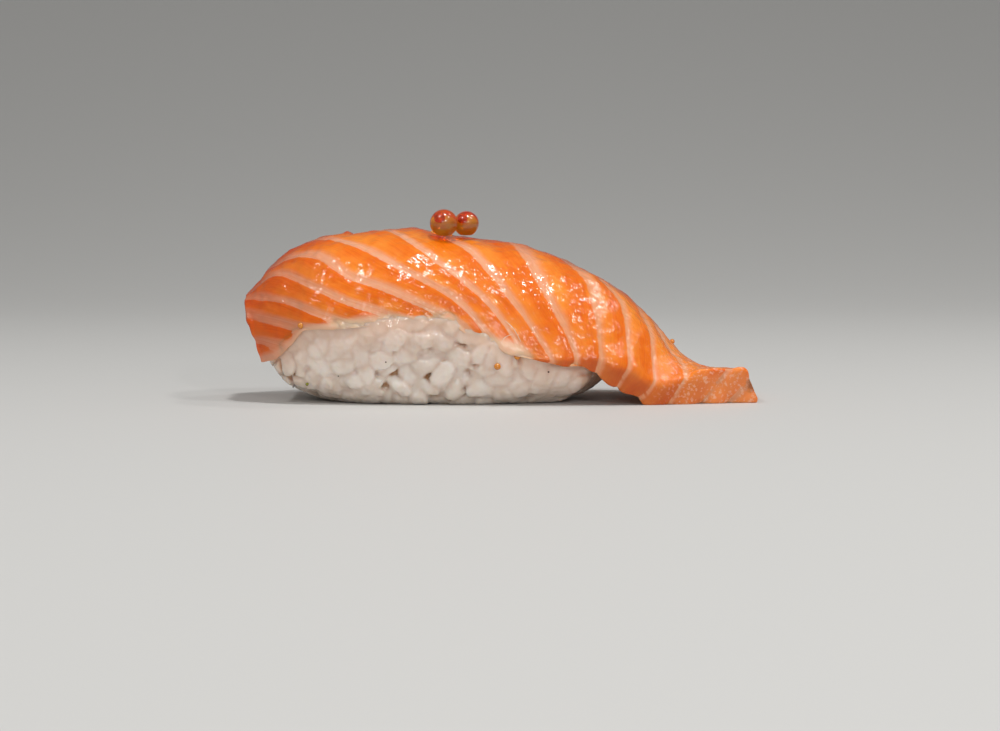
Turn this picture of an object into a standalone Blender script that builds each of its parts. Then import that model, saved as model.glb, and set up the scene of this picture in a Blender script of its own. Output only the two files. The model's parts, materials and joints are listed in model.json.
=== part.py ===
"""Salmon nigiri: a slice of raw salmon draped over a pressed rice ball, with two pearls of salmon roe on its ridge.

Metres, +Z up. +X points to the tail of the slice, which lies flat beside the rice, and -Y is the front.
The origin is the middle of the base. Each piece is one closed solid, and neighbours keep a gap of GAP.
"""

import math

import bmesh
import bpy
import numpy as np

GAP = 0.0003

# The slice of salmon.
SLICE_LENGTH = 0.0826
RIDGE_HEIGHT = 0.0278
SLICE_HALF_WIDTH = 0.0155
SLICE_THICKNESS = 0.0050
BACK_EDGE_THICKNESS = 0.0038
RIM_RADIUS = 0.0006
RIM_BULGE = 0.0003
END_LAG = 0.0029
END_BULGE = 0.0006
END_REACH = 0.15
TAIL_LEAN = 0.0021

# The ridge from the left end to the tail: share of the length, share of the ridge height.
RIDGE = (
    (-0.003, 0.616), (0.022, 0.690), (0.048, 0.781), (0.084, 0.869), (0.124, 0.928), (0.180, 0.970),
    (0.243, 0.988), (0.312, 1.000), (0.380, 0.976), (0.460, 0.938), (0.559, 0.887), (0.659, 0.769),
    (0.738, 0.640), (0.798, 0.468), (0.838, 0.325), (0.878, 0.224), (0.918, 0.178), (0.977, 0.168),
)  # fmt: skip

# The upper rim of each long edge: share of the length, share of the half width, share of the ridge
# height, and how far the section has turned down there, in degrees.
FRONT_EDGE = (
    (0.037, 0.55, 0.256, 88), (0.060, 0.66, 0.278, 88), (0.093, 0.77, 0.352, 88), (0.125, 0.87, 0.441, 88),
    (0.203, 0.95, 0.456, 88), (0.309, 0.99, 0.491, 88), (0.392, 1.00, 0.500, 87), (0.435, 1.00, 0.432, 86),
    (0.475, 1.00, 0.392, 84), (0.510, 1.00, 0.328, 82), (0.557, 1.00, 0.296, 78), (0.615, 0.99, 0.283, 72),
    (0.676, 0.94, 0.300, 66), (0.717, 0.90, 0.258, 60), (0.750, 0.87, 0.225, 54), (0.789, 0.83, 0.146, 46),
    (0.827, 0.79, 0.135, 40), (0.857, 0.75, 0.158, 30), (0.885, 0.71, 0.200, 20), (0.980, 0.60, 0.205, 12),
)  # fmt: skip
BACK_EDGE = (
    (0.037, 0.60, 0.310, 88), (0.130, 0.88, 0.390, 88), (0.320, 0.98, 0.440, 86), (0.500, 1.00, 0.410, 82),
    (0.643, 0.98, 0.330, 74), (0.738, 0.93, 0.235, 60), (0.800, 0.88, 0.165, 45), (0.857, 0.83, 0.150, 30),
    (0.915, 0.78, 0.148, 14), (0.973, 0.72, 0.142, 10),
)  # fmt: skip

# Along the front edge: share of the length, thickness of the cut face as a share of the slice's, and how
# far that face turns from square to the slice (0) to straight down (1).
FRONT_RIM = (
    (0.000, 0.24, 0.0), (0.400, 0.24, 0.0), (0.520, 0.26, 0.5), (0.600, 0.30, 1.0), (0.655, 0.40, 1.0),
    (0.675, 0.60, 1.0), (0.695, 0.74, 1.0), (0.742, 0.93, 1.0), (0.850, 1.00, 1.0), (0.880, 1.18, 1.0),
    (1.000, 1.20, 1.0),
)  # fmt: skip

ROWS_ALONG = 40
COLUMNS_ACROSS = 15

# The rice ball: a pressed oblong that is widest at RICE_WAIST above the board.
RICE_LEFT, RICE_RIGHT = -0.0368, 0.0188
RICE_HALF_WIDTH = 0.0137
RICE_WAIST = 0.0078
RICE_DOME = 0.0165
RICE_PLAN_POWER, RICE_END_POWER, RICE_SIDE_POWER = 2.6, 2.5, 4.0
RICE_FLAT = 0.0013
RICE_POINTS = 2800
GRAIN_AXES = (0.0031, 0.0016, 0.0015)
GRAIN_SPACING = 0.0034
GRAIN_DEPTH = 0.0012
GRAIN_TILT = 0.25
CREASE_DEPTH = 0.0012
GRAIN_SEED = 7

# The pearls of roe: radius, then where each stands on the slice.
PEARLS = (
    ("roe_pearl_left", 0.00225, -0.0092, -0.0050),
    ("roe_pearl_right", 0.00205, -0.0056, -0.0021),
)
PEARL_SEGMENTS, PEARL_RINGS = 18, 12


def clear_scene():
    """Removes everything that is in the file at the start."""
    for obj in list(bpy.data.objects):
        bpy.data.objects.remove(obj)


def make_material(name, colour, roughness):
    """A plain food finish."""
    material = bpy.data.materials.new(name)
    material.use_nodes = True
    shader = material.node_tree.nodes["Principled BSDF"]
    shader.inputs["Base Color"].default_value = (*colour, 1.0)
    shader.inputs["Roughness"].default_value = roughness
    shader.inputs["Metallic"].default_value = 0.0
    return material


def add_object(name, mesh, material):
    """Puts a mesh into the scene as one named, smooth-shaded object."""
    mesh.materials.append(material)
    mesh.shade_smooth()
    obj = bpy.data.objects.new(name, mesh)
    bpy.context.scene.collection.objects.link(obj)
    return obj


def smooth_step(low, high, x):
    """0 below low, 1 above high, and a smooth climb between them."""
    t = np.clip((x - low) / (high - low), 0.0, 1.0)
    return t * t * (3 - 2 * t)


def smooth_through(knots_x, knots_y, x):
    """Monotone cubic through the knots: each slope is the harmonic mean of its two neighbours' rises."""
    step = np.diff(knots_x)
    rise = np.diff(knots_y) / step
    slope = np.zeros_like(knots_y)
    slope[0], slope[-1] = rise[0], rise[-1]
    for i in range(1, len(knots_x) - 1):
        if rise[i - 1] * rise[i] > 0:
            slope[i] = 2 * rise[i - 1] * rise[i] / (rise[i - 1] + rise[i])
    x = np.clip(x, knots_x[0], knots_x[-1])
    i = np.clip(np.searchsorted(knots_x, x) - 1, 0, len(step) - 1)
    t = (x - knots_x[i]) / step[i]
    start = (1 + 2 * t) * (1 - t) ** 2 * knots_y[i] + t * (1 - t) ** 2 * step[i] * slope[i]
    end = t * t * (3 - 2 * t) * knots_y[i + 1] + t * t * (t - 1) * step[i] * slope[i + 1]
    return start + end


def table_at(table, share):
    """Every column of a shape table after the first, read at a share of the length."""
    columns = np.array(table, float).T
    return [smooth_through(columns[0], column, share) for column in columns[1:]]


def share_of_length(x):
    return x / SLICE_LENGTH + 0.5


def ridge_at(u):
    """The ridge's x and z at u, which runs evenly along it from 0 at the left end to 1 at the tail."""
    points = (np.array(RIDGE) - (0.5, 0.0)) * (SLICE_LENGTH, RIDGE_HEIGHT)
    walked = np.concatenate([[0.0], np.cumsum(np.hypot(*np.diff(points, axis=0).T))])
    walked /= walked[-1]
    return smooth_through(walked, points[:, 0], u), smooth_through(walked, points[:, 1], u)


def top_surface(u, v):
    """The slice's upper face. v is -1 at the back edge, 0 on the ridge and 1 at the front edge.

    A section is the part of an ellipse from its top, on the ridge, to where it has turned by the edge's
    angle. Near the left end it lags behind the ridge at its edges and bulges between them.
    """
    ridge_x, ridge_z = ridge_at(u)
    reach = np.abs(v)
    near_end = np.clip(1 - u / END_REACH, 0, 1) ** 2
    edge_x = ridge_x + END_LAG * near_end
    front, back = (table_at(edge, share_of_length(edge_x)) for edge in (FRONT_EDGE, BACK_EDGE))
    out, up, turn = (np.where(v > 0, f, b) for f, b in zip(front, back))
    angle = np.radians(turn)
    across = np.sin(reach * angle) / np.sin(angle)
    height = (np.cos(reach * angle) - np.cos(angle)) / (1 - np.cos(angle))
    edge_z = up * RIDGE_HEIGHT
    bulge = END_BULGE * near_end * np.sin(math.pi * np.clip(reach, 0, 1))
    return np.stack(
        [
            ridge_x + END_LAG * near_end * reach**2.5 - bulge,
            -np.sign(v) * out * SLICE_HALF_WIDTH * across,
            edge_z + (ridge_z - edge_z) * height,
        ],
        axis=-1,
    )


def top_normal(u, v):
    """The unit normal of the upper face, from points a little to each side."""
    step = 0.002
    along = top_surface(np.clip(u + step, 0, 1), v) - top_surface(np.clip(u - step, 0, 1), v)
    to_front = top_surface(u, v + step) - top_surface(u, v - step)
    normal = np.cross(to_front, along)
    return normal / np.linalg.norm(normal, axis=-1, keepdims=True)


def slice_point(u, v, depth, rise=0.0, sink=0.0):
    """A point of the slice: depth is 0 on the upper face and 1 on the lower one.

    rise and sink move the two faces further apart, which the clearance cutter needs.
    """
    top = top_surface(u, v)
    normal = top_normal(u, v)
    rim_share, turn_down = table_at(FRONT_RIM, share_of_length(top[..., 0]))
    near_front = smooth_step(0.45, 1.0, v)
    near_back = smooth_step(0.70, 1.0, -v)
    thickness = SLICE_THICKNESS * (1 + (rim_share - 1) * near_front)
    thickness += (BACK_EDGE_THICKNESS - SLICE_THICKNESS) * near_back
    straight_down = np.array((0.0, 0.2, -1.0))
    turned = (near_front * turn_down)[..., None]
    inward = -normal * (1 - turned) + straight_down * turned
    inward /= np.linalg.norm(inward, axis=-1, keepdims=True)
    lean = TAIL_LEAN * smooth_step(0.93, 1.0, u) * depth
    point = top + inward * (depth * (thickness + sink))[..., None]
    point += normal * ((1 - depth) * rise)[..., None]
    point[..., 0] += lean
    return point


def section_loop(rim_v, rim_depth, grow):
    """The outline of a section in v and depth: over the top, round the front rim, back underneath."""
    flat = np.linspace(-1 + rim_v, 1 - rim_v, COLUMNS_ACROSS)
    bulge = 1 + RIM_BULGE / SLICE_HALF_WIDTH
    corner = 0.3
    rim = np.array(
        (
            (1 - corner * rim_v, corner * rim_depth),
            (1, rim_depth),
            (bulge, 0.5),
            (1, 1 - rim_depth),
            (1 - corner * rim_v, 1 - corner * rim_depth),
        )
    )
    if grow:
        rim[:, 0] = bulge + grow
    top = [(v, 0.0) for v in flat]
    under = [(v, 1.0) for v in flat[::-1]]
    back_rim = [(-v, depth) for v, depth in rim[::-1]]
    return np.array([*top, *rim, *under, *back_rim]).T


def slice_mesh(name, u_last=1.0, rise=0.0, sink=0.0, grow=0.0, on_board=True):
    """The closed surface of the slice: one loop for each row along it, and a shrunken loop at each end.

    u_last ends it short of the tail. The rows before that stay where they are.
    """
    rim_v, rim_depth = RIM_RADIUS / SLICE_HALF_WIDTH, 0.2
    v, depth = section_loop(rim_v, rim_depth, grow / SLICE_HALF_WIDTH)
    rim_u = RIM_RADIUS / SLICE_LENGTH
    rows_u = np.concatenate([[0.0], np.linspace(rim_u, 1 - rim_u, ROWS_ALONG), [1.0]])
    rows_u = rows_u[rows_u <= u_last]
    squeeze = np.ones_like(rows_u)
    squeeze[[0, -1]] = 1 - 2 * rim_depth
    rows = [
        slice_point(np.full_like(v, u), v, 0.5 + (depth - 0.5) * keep, rise, sink)
        for u, keep in zip(rows_u, squeeze)
    ]
    points = np.array(rows)
    if grow:
        points[0, :, 0] -= grow
    if on_board:
        points[..., 2] = np.maximum(points[..., 2], 0.0)
    count = points.shape[1]
    mesh = bpy.data.meshes.new(name)
    build = bmesh.new()
    verts = [[build.verts.new(p) for p in row] for row in points]
    for row, following in zip(verts, verts[1:]):
        for k in range(count):
            after = (k + 1) % count
            build.faces.new((row[k], row[after], following[after], following[k]))
    last_top = COLUMNS_ACROSS - 1
    first_under = count - 5 - COLUMNS_ACROSS
    for ring in (verts[0], verts[-1]):
        for k in range(last_top):
            build.faces.new((ring[k], ring[k + 1], ring[first_under + last_top - k - 1],
                             ring[first_under + last_top - k]))  # fmt: skip
        build.faces.new(ring[last_top : first_under + 1])
        build.faces.new([*ring[first_under + last_top :], ring[0]])
    bmesh.ops.recalc_face_normals(build, faces=build.faces)
    build.to_mesh(mesh)
    build.free()
    return mesh


def make_slice():
    material = make_material("salmon_flesh", (0.86, 0.21, 0.03), 0.3)
    return add_object("salmon_slice", slice_mesh("salmon_slice"), material)


def mound_radius(direction):
    """How far the pressed outline of the rice lies from its middle, along unit directions.

    It is a superellipsoid: ((x/a)^p + (y/b)^p)^(q/p) + (z/c)^q = 1. Below the waist c is smaller, and q
    grows from the ends to the long sides, which so stand steeper.
    """
    half_length = (RICE_RIGHT - RICE_LEFT) / 2
    x, y, z = np.abs(direction).T
    half_height = np.where(direction[:, 2] > 0, RICE_DOME, RICE_WAIST + RICE_FLAT)
    p = RICE_PLAN_POWER
    q = RICE_END_POWER + (RICE_SIDE_POWER - RICE_END_POWER) * y**2 / np.maximum(x**2 + y**2, 1e-9)
    plan = ((x / half_length) ** p + (y / RICE_HALF_WIDTH) ** p) ** (q / p)
    return (plan + (z / half_height) ** q) ** (-1 / q)


def evenly_spread(count):
    """Points of a unit sphere on a spiral that turns by the golden angle from each to the next."""
    step = np.arange(count) + 0.5
    z = 1 - 2 * step / count
    turn = math.pi * (3 - math.sqrt(5)) * step
    ring = np.sqrt(1 - z * z)
    return np.stack([ring * np.cos(turn), ring * np.sin(turn), z], axis=1)


def stretched_directions(points):
    """Unit directions that spread points of a sphere evenly over the oblong."""
    half_length = (RICE_RIGHT - RICE_LEFT) / 2
    stretched = points * (half_length, RICE_HALF_WIDTH, RICE_WAIST * 1.6)
    return stretched / np.linalg.norm(stretched, axis=1, keepdims=True)


def grain_layout():
    """Middles of the outer grains, from the middle of the ball, and their three axes as rows of a matrix.

    Candidates are taken in a seeded random order, and one is kept if it is GRAIN_SPACING from the rest.
    """
    random = np.random.default_rng(GRAIN_SEED)
    scattered = random.normal(size=(5000, 3))
    directions = stretched_directions(scattered / np.linalg.norm(scattered, axis=1, keepdims=True))
    places = directions * (mound_radius(directions) - GRAIN_DEPTH)[:, None]
    kept = []
    for place in range(len(places)):
        gaps = np.linalg.norm(places[kept] - places[place], axis=1) if kept else np.array([1.0])
        if gaps.min() > GRAIN_SPACING:
            kept.append(place)
    axes = []
    for direction in directions[kept]:
        outward = direction + GRAIN_TILT * random.normal(size=3)
        lengthwise = np.cross(outward, random.normal(size=3))
        crosswise = np.cross(outward, lengthwise)
        frame = np.array([lengthwise, crosswise, outward])
        axes.append(frame / np.linalg.norm(frame, axis=1, keepdims=True))
    return places[kept], np.array(axes)


def grainy_radius(directions):
    """The distance to the outermost grain along each direction, or to the crease between grains."""
    centres, axes = grain_layout()
    scaled = axes / np.array(GRAIN_AXES)[None, :, None]
    radius = mound_radius(directions) - CREASE_DEPTH
    for centre, to_unit in zip(centres, scaled):
        m = directions @ to_unit.T
        n = -to_unit @ centre
        along, square = m @ n, (m * m).sum(axis=1)
        inside = along**2 - square * (n @ n - 1)
        leaving = (-along + np.sqrt(np.maximum(inside, 0.0))) / square
        radius = np.where(inside > 0, np.maximum(radius, leaving), radius)
    return radius


def make_clearance():
    """The cutter that keeps the rice clear of the slice: the slice grown by GAP and thickened outwards."""
    mesh = slice_mesh("slice_clearance", u_last=0.86, rise=0.006, sink=GAP, grow=GAP, on_board=False)
    cutter = bpy.data.objects.new("slice_clearance", mesh)
    bpy.context.scene.collection.objects.link(cutter)
    cutter.hide_render = True
    cutter.display_type = "WIRE"
    return cutter


def make_rice():
    """The rice ball, grainy all over, flat where it stands, and hollowed to fit under the slice."""
    mesh = bpy.data.meshes.new("rice_ball")
    build = bmesh.new()
    for place in evenly_spread(RICE_POINTS):
        build.verts.new(place)
    bmesh.ops.convex_hull(build, input=build.verts)
    directions = stretched_directions(np.array([v.co for v in build.verts]))
    middle = np.array(((RICE_LEFT + RICE_RIGHT) / 2, 0.0, RICE_WAIST))
    points = middle + directions * grainy_radius(directions)[:, None]
    for vert, point in zip(build.verts, points):
        vert.co = point
    whole = build.verts[:] + build.edges[:] + build.faces[:]
    board = bmesh.ops.bisect_plane(build, geom=whole, plane_co=(0, 0, 0), plane_no=(0, 0, -1), clear_outer=True)
    rim = [item for item in board["geom_cut"] if isinstance(item, bmesh.types.BMEdge)]
    bmesh.ops.triangle_fill(build, edges=rim, use_beauty=True)
    bmesh.ops.recalc_face_normals(build, faces=build.faces)
    build.to_mesh(mesh)
    build.free()
    rice = add_object("rice_ball", mesh, make_material("sushi_rice", (0.78, 0.73, 0.66), 0.5))
    cut = rice.modifiers.new("under the slice", "BOOLEAN")
    cut.operation = "DIFFERENCE"
    cut.object = make_clearance()
    return rice


def slice_height(x, y):
    """The height of the slice's upper face over a point of the board near the ridge."""
    u, v = np.meshgrid(np.linspace(0.2, 0.7, 200), np.linspace(-0.6, 0.6, 120))
    top = top_surface(u, v)
    nearest = np.argmin(np.hypot(top[..., 0] - x, top[..., 1] - y))
    return top.reshape(-1, 3)[nearest, 2]


def make_pearl(name, radius, x, y):
    """One pearl of roe, a hair above the slice that it stands on."""
    mesh = bpy.data.meshes.new(name)
    build = bmesh.new()
    bmesh.ops.create_uvsphere(build, u_segments=PEARL_SEGMENTS, v_segments=PEARL_RINGS, radius=radius)
    build.to_mesh(mesh)
    build.free()
    pearl = add_object(name, mesh, make_material(name, (0.80, 0.16, 0.01), 0.1))
    pearl.location = (x, y, slice_height(x, y) + radius + GAP)
    return pearl


def centre_on_board(reference):
    """Slides every object, cutter included, until the middle of the reference's box is over the origin."""
    corners = np.array(reference.bound_box)
    middle = (corners.min(axis=0) + corners.max(axis=0)) / 2
    for obj in bpy.data.objects:
        obj.location.x -= middle[0]
        obj.location.y -= middle[1]


def main():
    clear_scene()
    salmon = make_slice()
    make_rice()
    for pearl in PEARLS:
        make_pearl(*pearl)
    centre_on_board(salmon)


main()
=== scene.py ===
"""The looks of a salmon nigiri: a striped, wet slice of raw salmon over pressed rice, with roe on the ridge.

Metres, +Z up, +X to the tail, -Y the front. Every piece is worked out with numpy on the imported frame.
"""

import json
import math

import bpy
import numpy as np
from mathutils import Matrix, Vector
from mathutils.bvhtree import BVHTree

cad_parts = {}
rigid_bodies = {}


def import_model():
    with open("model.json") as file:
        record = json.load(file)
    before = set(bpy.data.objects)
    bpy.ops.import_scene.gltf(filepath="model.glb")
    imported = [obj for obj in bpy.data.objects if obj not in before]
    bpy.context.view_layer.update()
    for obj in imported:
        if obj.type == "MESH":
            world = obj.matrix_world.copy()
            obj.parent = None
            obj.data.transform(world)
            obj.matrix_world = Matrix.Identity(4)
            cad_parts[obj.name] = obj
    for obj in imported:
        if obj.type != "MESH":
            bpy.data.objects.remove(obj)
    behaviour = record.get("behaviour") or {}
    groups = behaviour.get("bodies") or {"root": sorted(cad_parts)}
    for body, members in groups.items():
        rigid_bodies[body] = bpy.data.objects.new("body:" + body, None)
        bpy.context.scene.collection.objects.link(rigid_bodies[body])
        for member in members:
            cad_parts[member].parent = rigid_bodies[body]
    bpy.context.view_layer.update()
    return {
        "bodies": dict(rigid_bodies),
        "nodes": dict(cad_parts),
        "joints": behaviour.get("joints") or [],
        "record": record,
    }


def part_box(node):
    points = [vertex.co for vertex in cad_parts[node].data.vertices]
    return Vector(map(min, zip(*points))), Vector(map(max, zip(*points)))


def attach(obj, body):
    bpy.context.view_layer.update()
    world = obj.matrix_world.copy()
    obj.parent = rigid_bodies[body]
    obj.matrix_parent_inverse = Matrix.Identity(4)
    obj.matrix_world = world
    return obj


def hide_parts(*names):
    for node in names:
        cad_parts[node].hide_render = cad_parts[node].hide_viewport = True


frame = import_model()

MM = 0.001

# ---------------------------------------------------------------- the slice's named sizes

SLICE_LENGTH = 0.0826
RIDGE_HEIGHT = 0.0278
SLICE_HALF_WIDTH = 0.0155
SLICE_THICKNESS = 0.0050
BACK_EDGE_THICKNESS = 0.0038
RIM_RADIUS = 0.0006
RIM_BULGE = 0.0003
END_LAG = 0.0029
END_BULGE = 0.0006
END_REACH = 0.15
TAIL_LEAN = 0.0021
HALF_GIRTH = 0.022

# The ridge from the left end to the tail: share of the length, share of the ridge height.
RIDGE = (
    (-0.003, 0.616), (0.022, 0.690), (0.048, 0.781), (0.084, 0.869), (0.124, 0.928), (0.180, 0.970),
    (0.243, 0.988), (0.312, 1.000), (0.380, 0.976), (0.460, 0.938), (0.559, 0.887), (0.659, 0.769),
    (0.738, 0.640), (0.798, 0.468), (0.838, 0.325), (0.878, 0.224), (0.918, 0.178), (0.977, 0.168),
)  # fmt: skip

# The upper rim of each long edge: share of the length, share of the half width, share of the ridge
# height, and how far the section has turned down there, in degrees.
FRONT_EDGE = (
    (0.037, 0.55, 0.256, 88), (0.060, 0.66, 0.278, 88), (0.093, 0.77, 0.352, 88), (0.125, 0.87, 0.441, 88),
    (0.203, 0.95, 0.456, 88), (0.309, 0.99, 0.491, 88), (0.392, 1.00, 0.500, 87), (0.435, 1.00, 0.432, 86),
    (0.475, 1.00, 0.392, 84), (0.510, 1.00, 0.328, 82), (0.557, 1.00, 0.296, 78), (0.615, 0.99, 0.283, 72),
    (0.676, 0.94, 0.300, 66), (0.717, 0.90, 0.258, 60), (0.750, 0.87, 0.225, 54), (0.789, 0.83, 0.146, 46),
    (0.827, 0.79, 0.135, 40), (0.857, 0.75, 0.158, 30), (0.885, 0.71, 0.200, 20), (0.980, 0.60, 0.205, 12),
)  # fmt: skip
BACK_EDGE = (
    (0.037, 0.60, 0.310, 88), (0.130, 0.88, 0.390, 88), (0.320, 0.98, 0.440, 86), (0.500, 1.00, 0.410, 82),
    (0.643, 0.98, 0.330, 74), (0.738, 0.93, 0.235, 60), (0.800, 0.88, 0.165, 45), (0.857, 0.83, 0.150, 30),
    (0.915, 0.78, 0.148, 14), (0.973, 0.72, 0.142, 10),
)  # fmt: skip

# Along the front edge: share of the length, thickness of the cut face as a share of the slice's, and how
# far that face turns from square to the slice (0) to straight down (1).
FRONT_RIM = (
    (0.000, 0.24, 0.0), (0.400, 0.24, 0.0), (0.520, 0.26, 0.5), (0.600, 0.30, 1.0), (0.655, 0.40, 1.0),
    (0.675, 0.60, 1.0), (0.695, 0.74, 1.0), (0.742, 0.93, 1.0), (0.850, 1.00, 1.0), (0.880, 1.18, 1.0),
    (1.000, 1.20, 1.0),
)  # fmt: skip

# The pale fat lines between the muscles, from the left end to the tail. Each is a share of the slice's
# length where the line crosses LINE_STOPS, then its full width on the ridge and at the front edge, in
# millimetres. A stop is -1 at the back edge, 0 on the ridge and 1 at the front edge.
LINE_STOPS = (-1.0, -0.5, 0.0, 0.2, 0.4, 0.6, 0.8, 1.0, 1.15)
FAT_LINES = (
    (-0.460, -0.400, -0.300, -0.260, -0.220, -0.170, -0.110, 0.015, 0.140, 1.6, 1.9),
    (-0.300, -0.190, -0.090, -0.060, -0.030, 0.000, 0.038, 0.140, 0.270, 1.6, 1.8),
    (-0.250, -0.150, -0.040, -0.012, 0.014, 0.043, 0.115, 0.215, 0.330, 1.4, 1.2),
    (-0.220, -0.120, -0.015, 0.020, 0.066, 0.116, 0.191, 0.316, 0.410, 1.6, 1.2),
    (-0.170, -0.080, 0.030, 0.076, 0.145, 0.199, 0.300, 0.425, 0.490, 2.2, 1.4),
    (-0.080, 0.000, 0.115, 0.176, 0.239, 0.307, 0.407, 0.482, 0.540, 1.6, 1.3),
    (0.050, 0.140, 0.250, 0.300, 0.343, 0.406, 0.487, 0.548, 0.600, 1.7, 1.2),
    (0.170, 0.260, 0.360, 0.406, 0.456, 0.501, 0.551, 0.596, 0.630, 2.4, 1.2),
    (0.400, 0.470, 0.530, 0.547, 0.567, 0.591, 0.622, 0.646, 0.660, 3.6, 1.2),
    (0.500, 0.565, 0.627, 0.657, 0.678, 0.684, 0.689, 0.694, 0.698, 2.8, 1.5),
    (0.575, 0.630, 0.685, 0.708, 0.737, 0.745, 0.747, 0.748, 0.749, 1.8, 1.0),
    (0.690, 0.728, 0.765, 0.778, 0.789, 0.794, 0.796, 0.798, 0.799, 1.5, 1.0),
    (0.745, 0.772, 0.800, 0.812, 0.828, 0.848, 0.857, 0.858, 0.859, 1.8, 1.4),
    (0.850, 0.880, 0.905, 0.917, 0.930, 0.938, 0.942, 0.944, 0.945, 1.3, 1.2),
    (0.935, 0.960, 0.984, 0.990, 0.995, 0.998, 1.000, 1.003, 1.003, 1.2, 1.2),
)  # fmt: skip

# A smooth front edge that the fat lines are laid out from, which takes no notice of the real edge's
# waves: share of the length, share of the ridge height.
LINE_EDGE = ((0.0, 0.36), (0.1, 0.40), (0.2, 0.455), (0.3, 0.49), (0.4, 0.48), (0.5, 0.37), (0.6, 0.29), (1.0, 0.29))

# How far a fat line has moved back along the slice by the time it reaches the lower face: share of the
# length, then the move as a share of the length.
LINE_LEAN = (
    (0.00, 0.006), (0.66, 0.010), (0.70, 0.016), (0.748, 0.036), (0.80, 0.040), (0.858, 0.050),
    (0.944, 0.059), (1.00, 0.045),
)  # fmt: skip

ROWS_ALONG = 320
BACK_COLUMNS, FRONT_COLUMNS = 44, 78
FRONT_RIM_POINTS, BACK_RIM_POINTS = 22, 12
CAP_ROWS = 8

# ---------------------------------------------------------------- the rice's named sizes

RICE_LEFT, RICE_RIGHT = -0.0368, 0.0188
RICE_HALF_WIDTH = 0.0137
RICE_WAIST = 0.0078
RICE_DOME = 0.0165
RICE_PLAN_POWER, RICE_END_POWER, RICE_SIDE_POWER = 2.6, 2.5, 4.0
RICE_FLAT = 0.0013
GRAIN_HALF_AXES = (0.0035, 0.0018, 0.00145)
CANDIDATES = 12000
CORE_DEPTH = 1.3 * MM
CREASE_DEPTH = 0.07 * MM
VOXEL = 0.28 * MM
FILM_THICKNESS = 0.28 * MM
SWELL_FADE = 4.5 * MM
MOST_SWELL = 2.2 * MM
FILLER_DEPTH = 0.38 * MM
LIP_COVER = 1.3 * MM
LIP_RISE = 0.06 * MM

# Grains that lie where they catch the eye on the front, in millimetres and degrees: place along the
# ball, height, turn from level, length and width.
FRONT_GRAINS = (
    (-36.2, 4.6, -60.0, 6.4, 2.6), (-33.6, 2.0, -32.0, 6.2, 2.5), (-32.8, 8.4, 86.0, 5.6, 3.2),
    (-26.7, 6.3, 6.0, 6.4, 3.4), (-20.7, 2.7, -20.0, 4.6, 3.0), (-16.3, 2.8, -45.0, 4.4, 2.7),
    (-6.8, 2.3, 62.0, 4.4, 3.1), (-1.8, 2.6, -6.0, 7.2, 3.6), (-1.0, 5.6, -10.0, 6.6, 2.6),
    (7.5, 2.8, 0.0, 5.0, 3.1), (-13.7, 10.9, -8.0, 7.0, 3.4), (5.0, 6.3, -52.0, 5.4, 3.0),
    (-22.0, 10.6, 12.0, 5.0, 3.2), (-30.9, 4.0, 50.0, 4.2, 2.6), (-12.0, 6.6, 4.0, 5.6, 3.2),
)  # fmt: skip

# Gaps between the front grains, where the tan shade inside shows: x and z in millimetres, then how far
# round each the creases open up.
FRONT_GAPS = (
    (-4.3, 6.4, 0.9), (-16.9, 5.2, 0.8), (-11.6, 4.6, 0.7), (-8.7, 5.2, 0.7), (-5.4, 2.4, 1.0), (-18.5, 2.9, 0.8),
    (-35.0, 6.0, 1.9), (-33.8, 3.6, 1.5), (-6.0, 10.2, 0.8), (2.8, 7.4, 0.8),
)  # fmt: skip
GAP_DEPTH = 1.0 * MM

# Tiny roe stuck to the front: x and z in millimetres, radius, and how much of it is pressed in. The last
# table's is x and y on the upper face.
TINY_ROE = ((-0.4, 6.5, 0.55, 0.3), (2.7, 7.9, 0.52, 0.9), (-31.7, 12.7, 0.50, 1.0))
TINY_ROE_BEHIND = ((28.0, 1.6, 0.42, 0.1),)
OIL_BEADS = ((-10.9, -1.3, 0.32, 0.9), (-8.1, -1.2, 0.36, 0.9))
DARK_SPECKS = ((-18.1, 7.0, 0.13, 0.6), (7.7, 5.4, 0.16, 0.8), (-25.8, 4.6, 0.11, 0.7))
GREEN_SPECKS = ((-30.9, 3.2, 0.28, 0.6),)
THREADS = (((0.2, 10.2), (0.8, 11.0), (2.0, 11.5)), ((0.8, 13.6), (2.1, 12.4), (3.3, 10.3)))
THREAD_RADIUS = 0.085 * MM

PEARLS = (
    ("roe_pearl_left", 0.00225),
    ("roe_pearl_right", 0.00205),
)


# ---------------------------------------------------------------- small helpers


def smooth_step(low, high, x):
    """0 below low, 1 above high, and 3t^2 - 2t^3 between them."""
    t = np.clip((x - low) / (high - low), 0.0, 1.0)
    return t * t * (3 - 2 * t)


def smooth_through(knots_x, knots_y, x):
    """Monotone cubic through the knots: each slope is the harmonic mean of its two neighbours' rises."""
    step = np.diff(knots_x)
    rise = np.diff(knots_y) / step
    slope = np.zeros_like(knots_y)
    slope[0], slope[-1] = rise[0], rise[-1]
    for i in range(1, len(knots_x) - 1):
        if rise[i - 1] * rise[i] > 0:
            slope[i] = 2 * rise[i - 1] * rise[i] / (rise[i - 1] + rise[i])
    x = np.clip(x, knots_x[0], knots_x[-1])
    i = np.clip(np.searchsorted(knots_x, x) - 1, 0, len(step) - 1)
    t = (x - knots_x[i]) / step[i]
    start = (1 + 2 * t) * (1 - t) ** 2 * knots_y[i] + t * (1 - t) ** 2 * step[i] * slope[i]
    end = t * t * (3 - 2 * t) * knots_y[i + 1] + t * t * (t - 1) * step[i] * slope[i + 1]
    return start + end


def table_at(table, share):
    """Every column of a shape table after the first, read at a share of the length."""
    columns = np.array(table, float).T
    return [smooth_through(columns[0], column, share) for column in columns[1:]]


def unit(vectors):
    return vectors / np.linalg.norm(vectors, axis=-1, keepdims=True)


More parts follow.
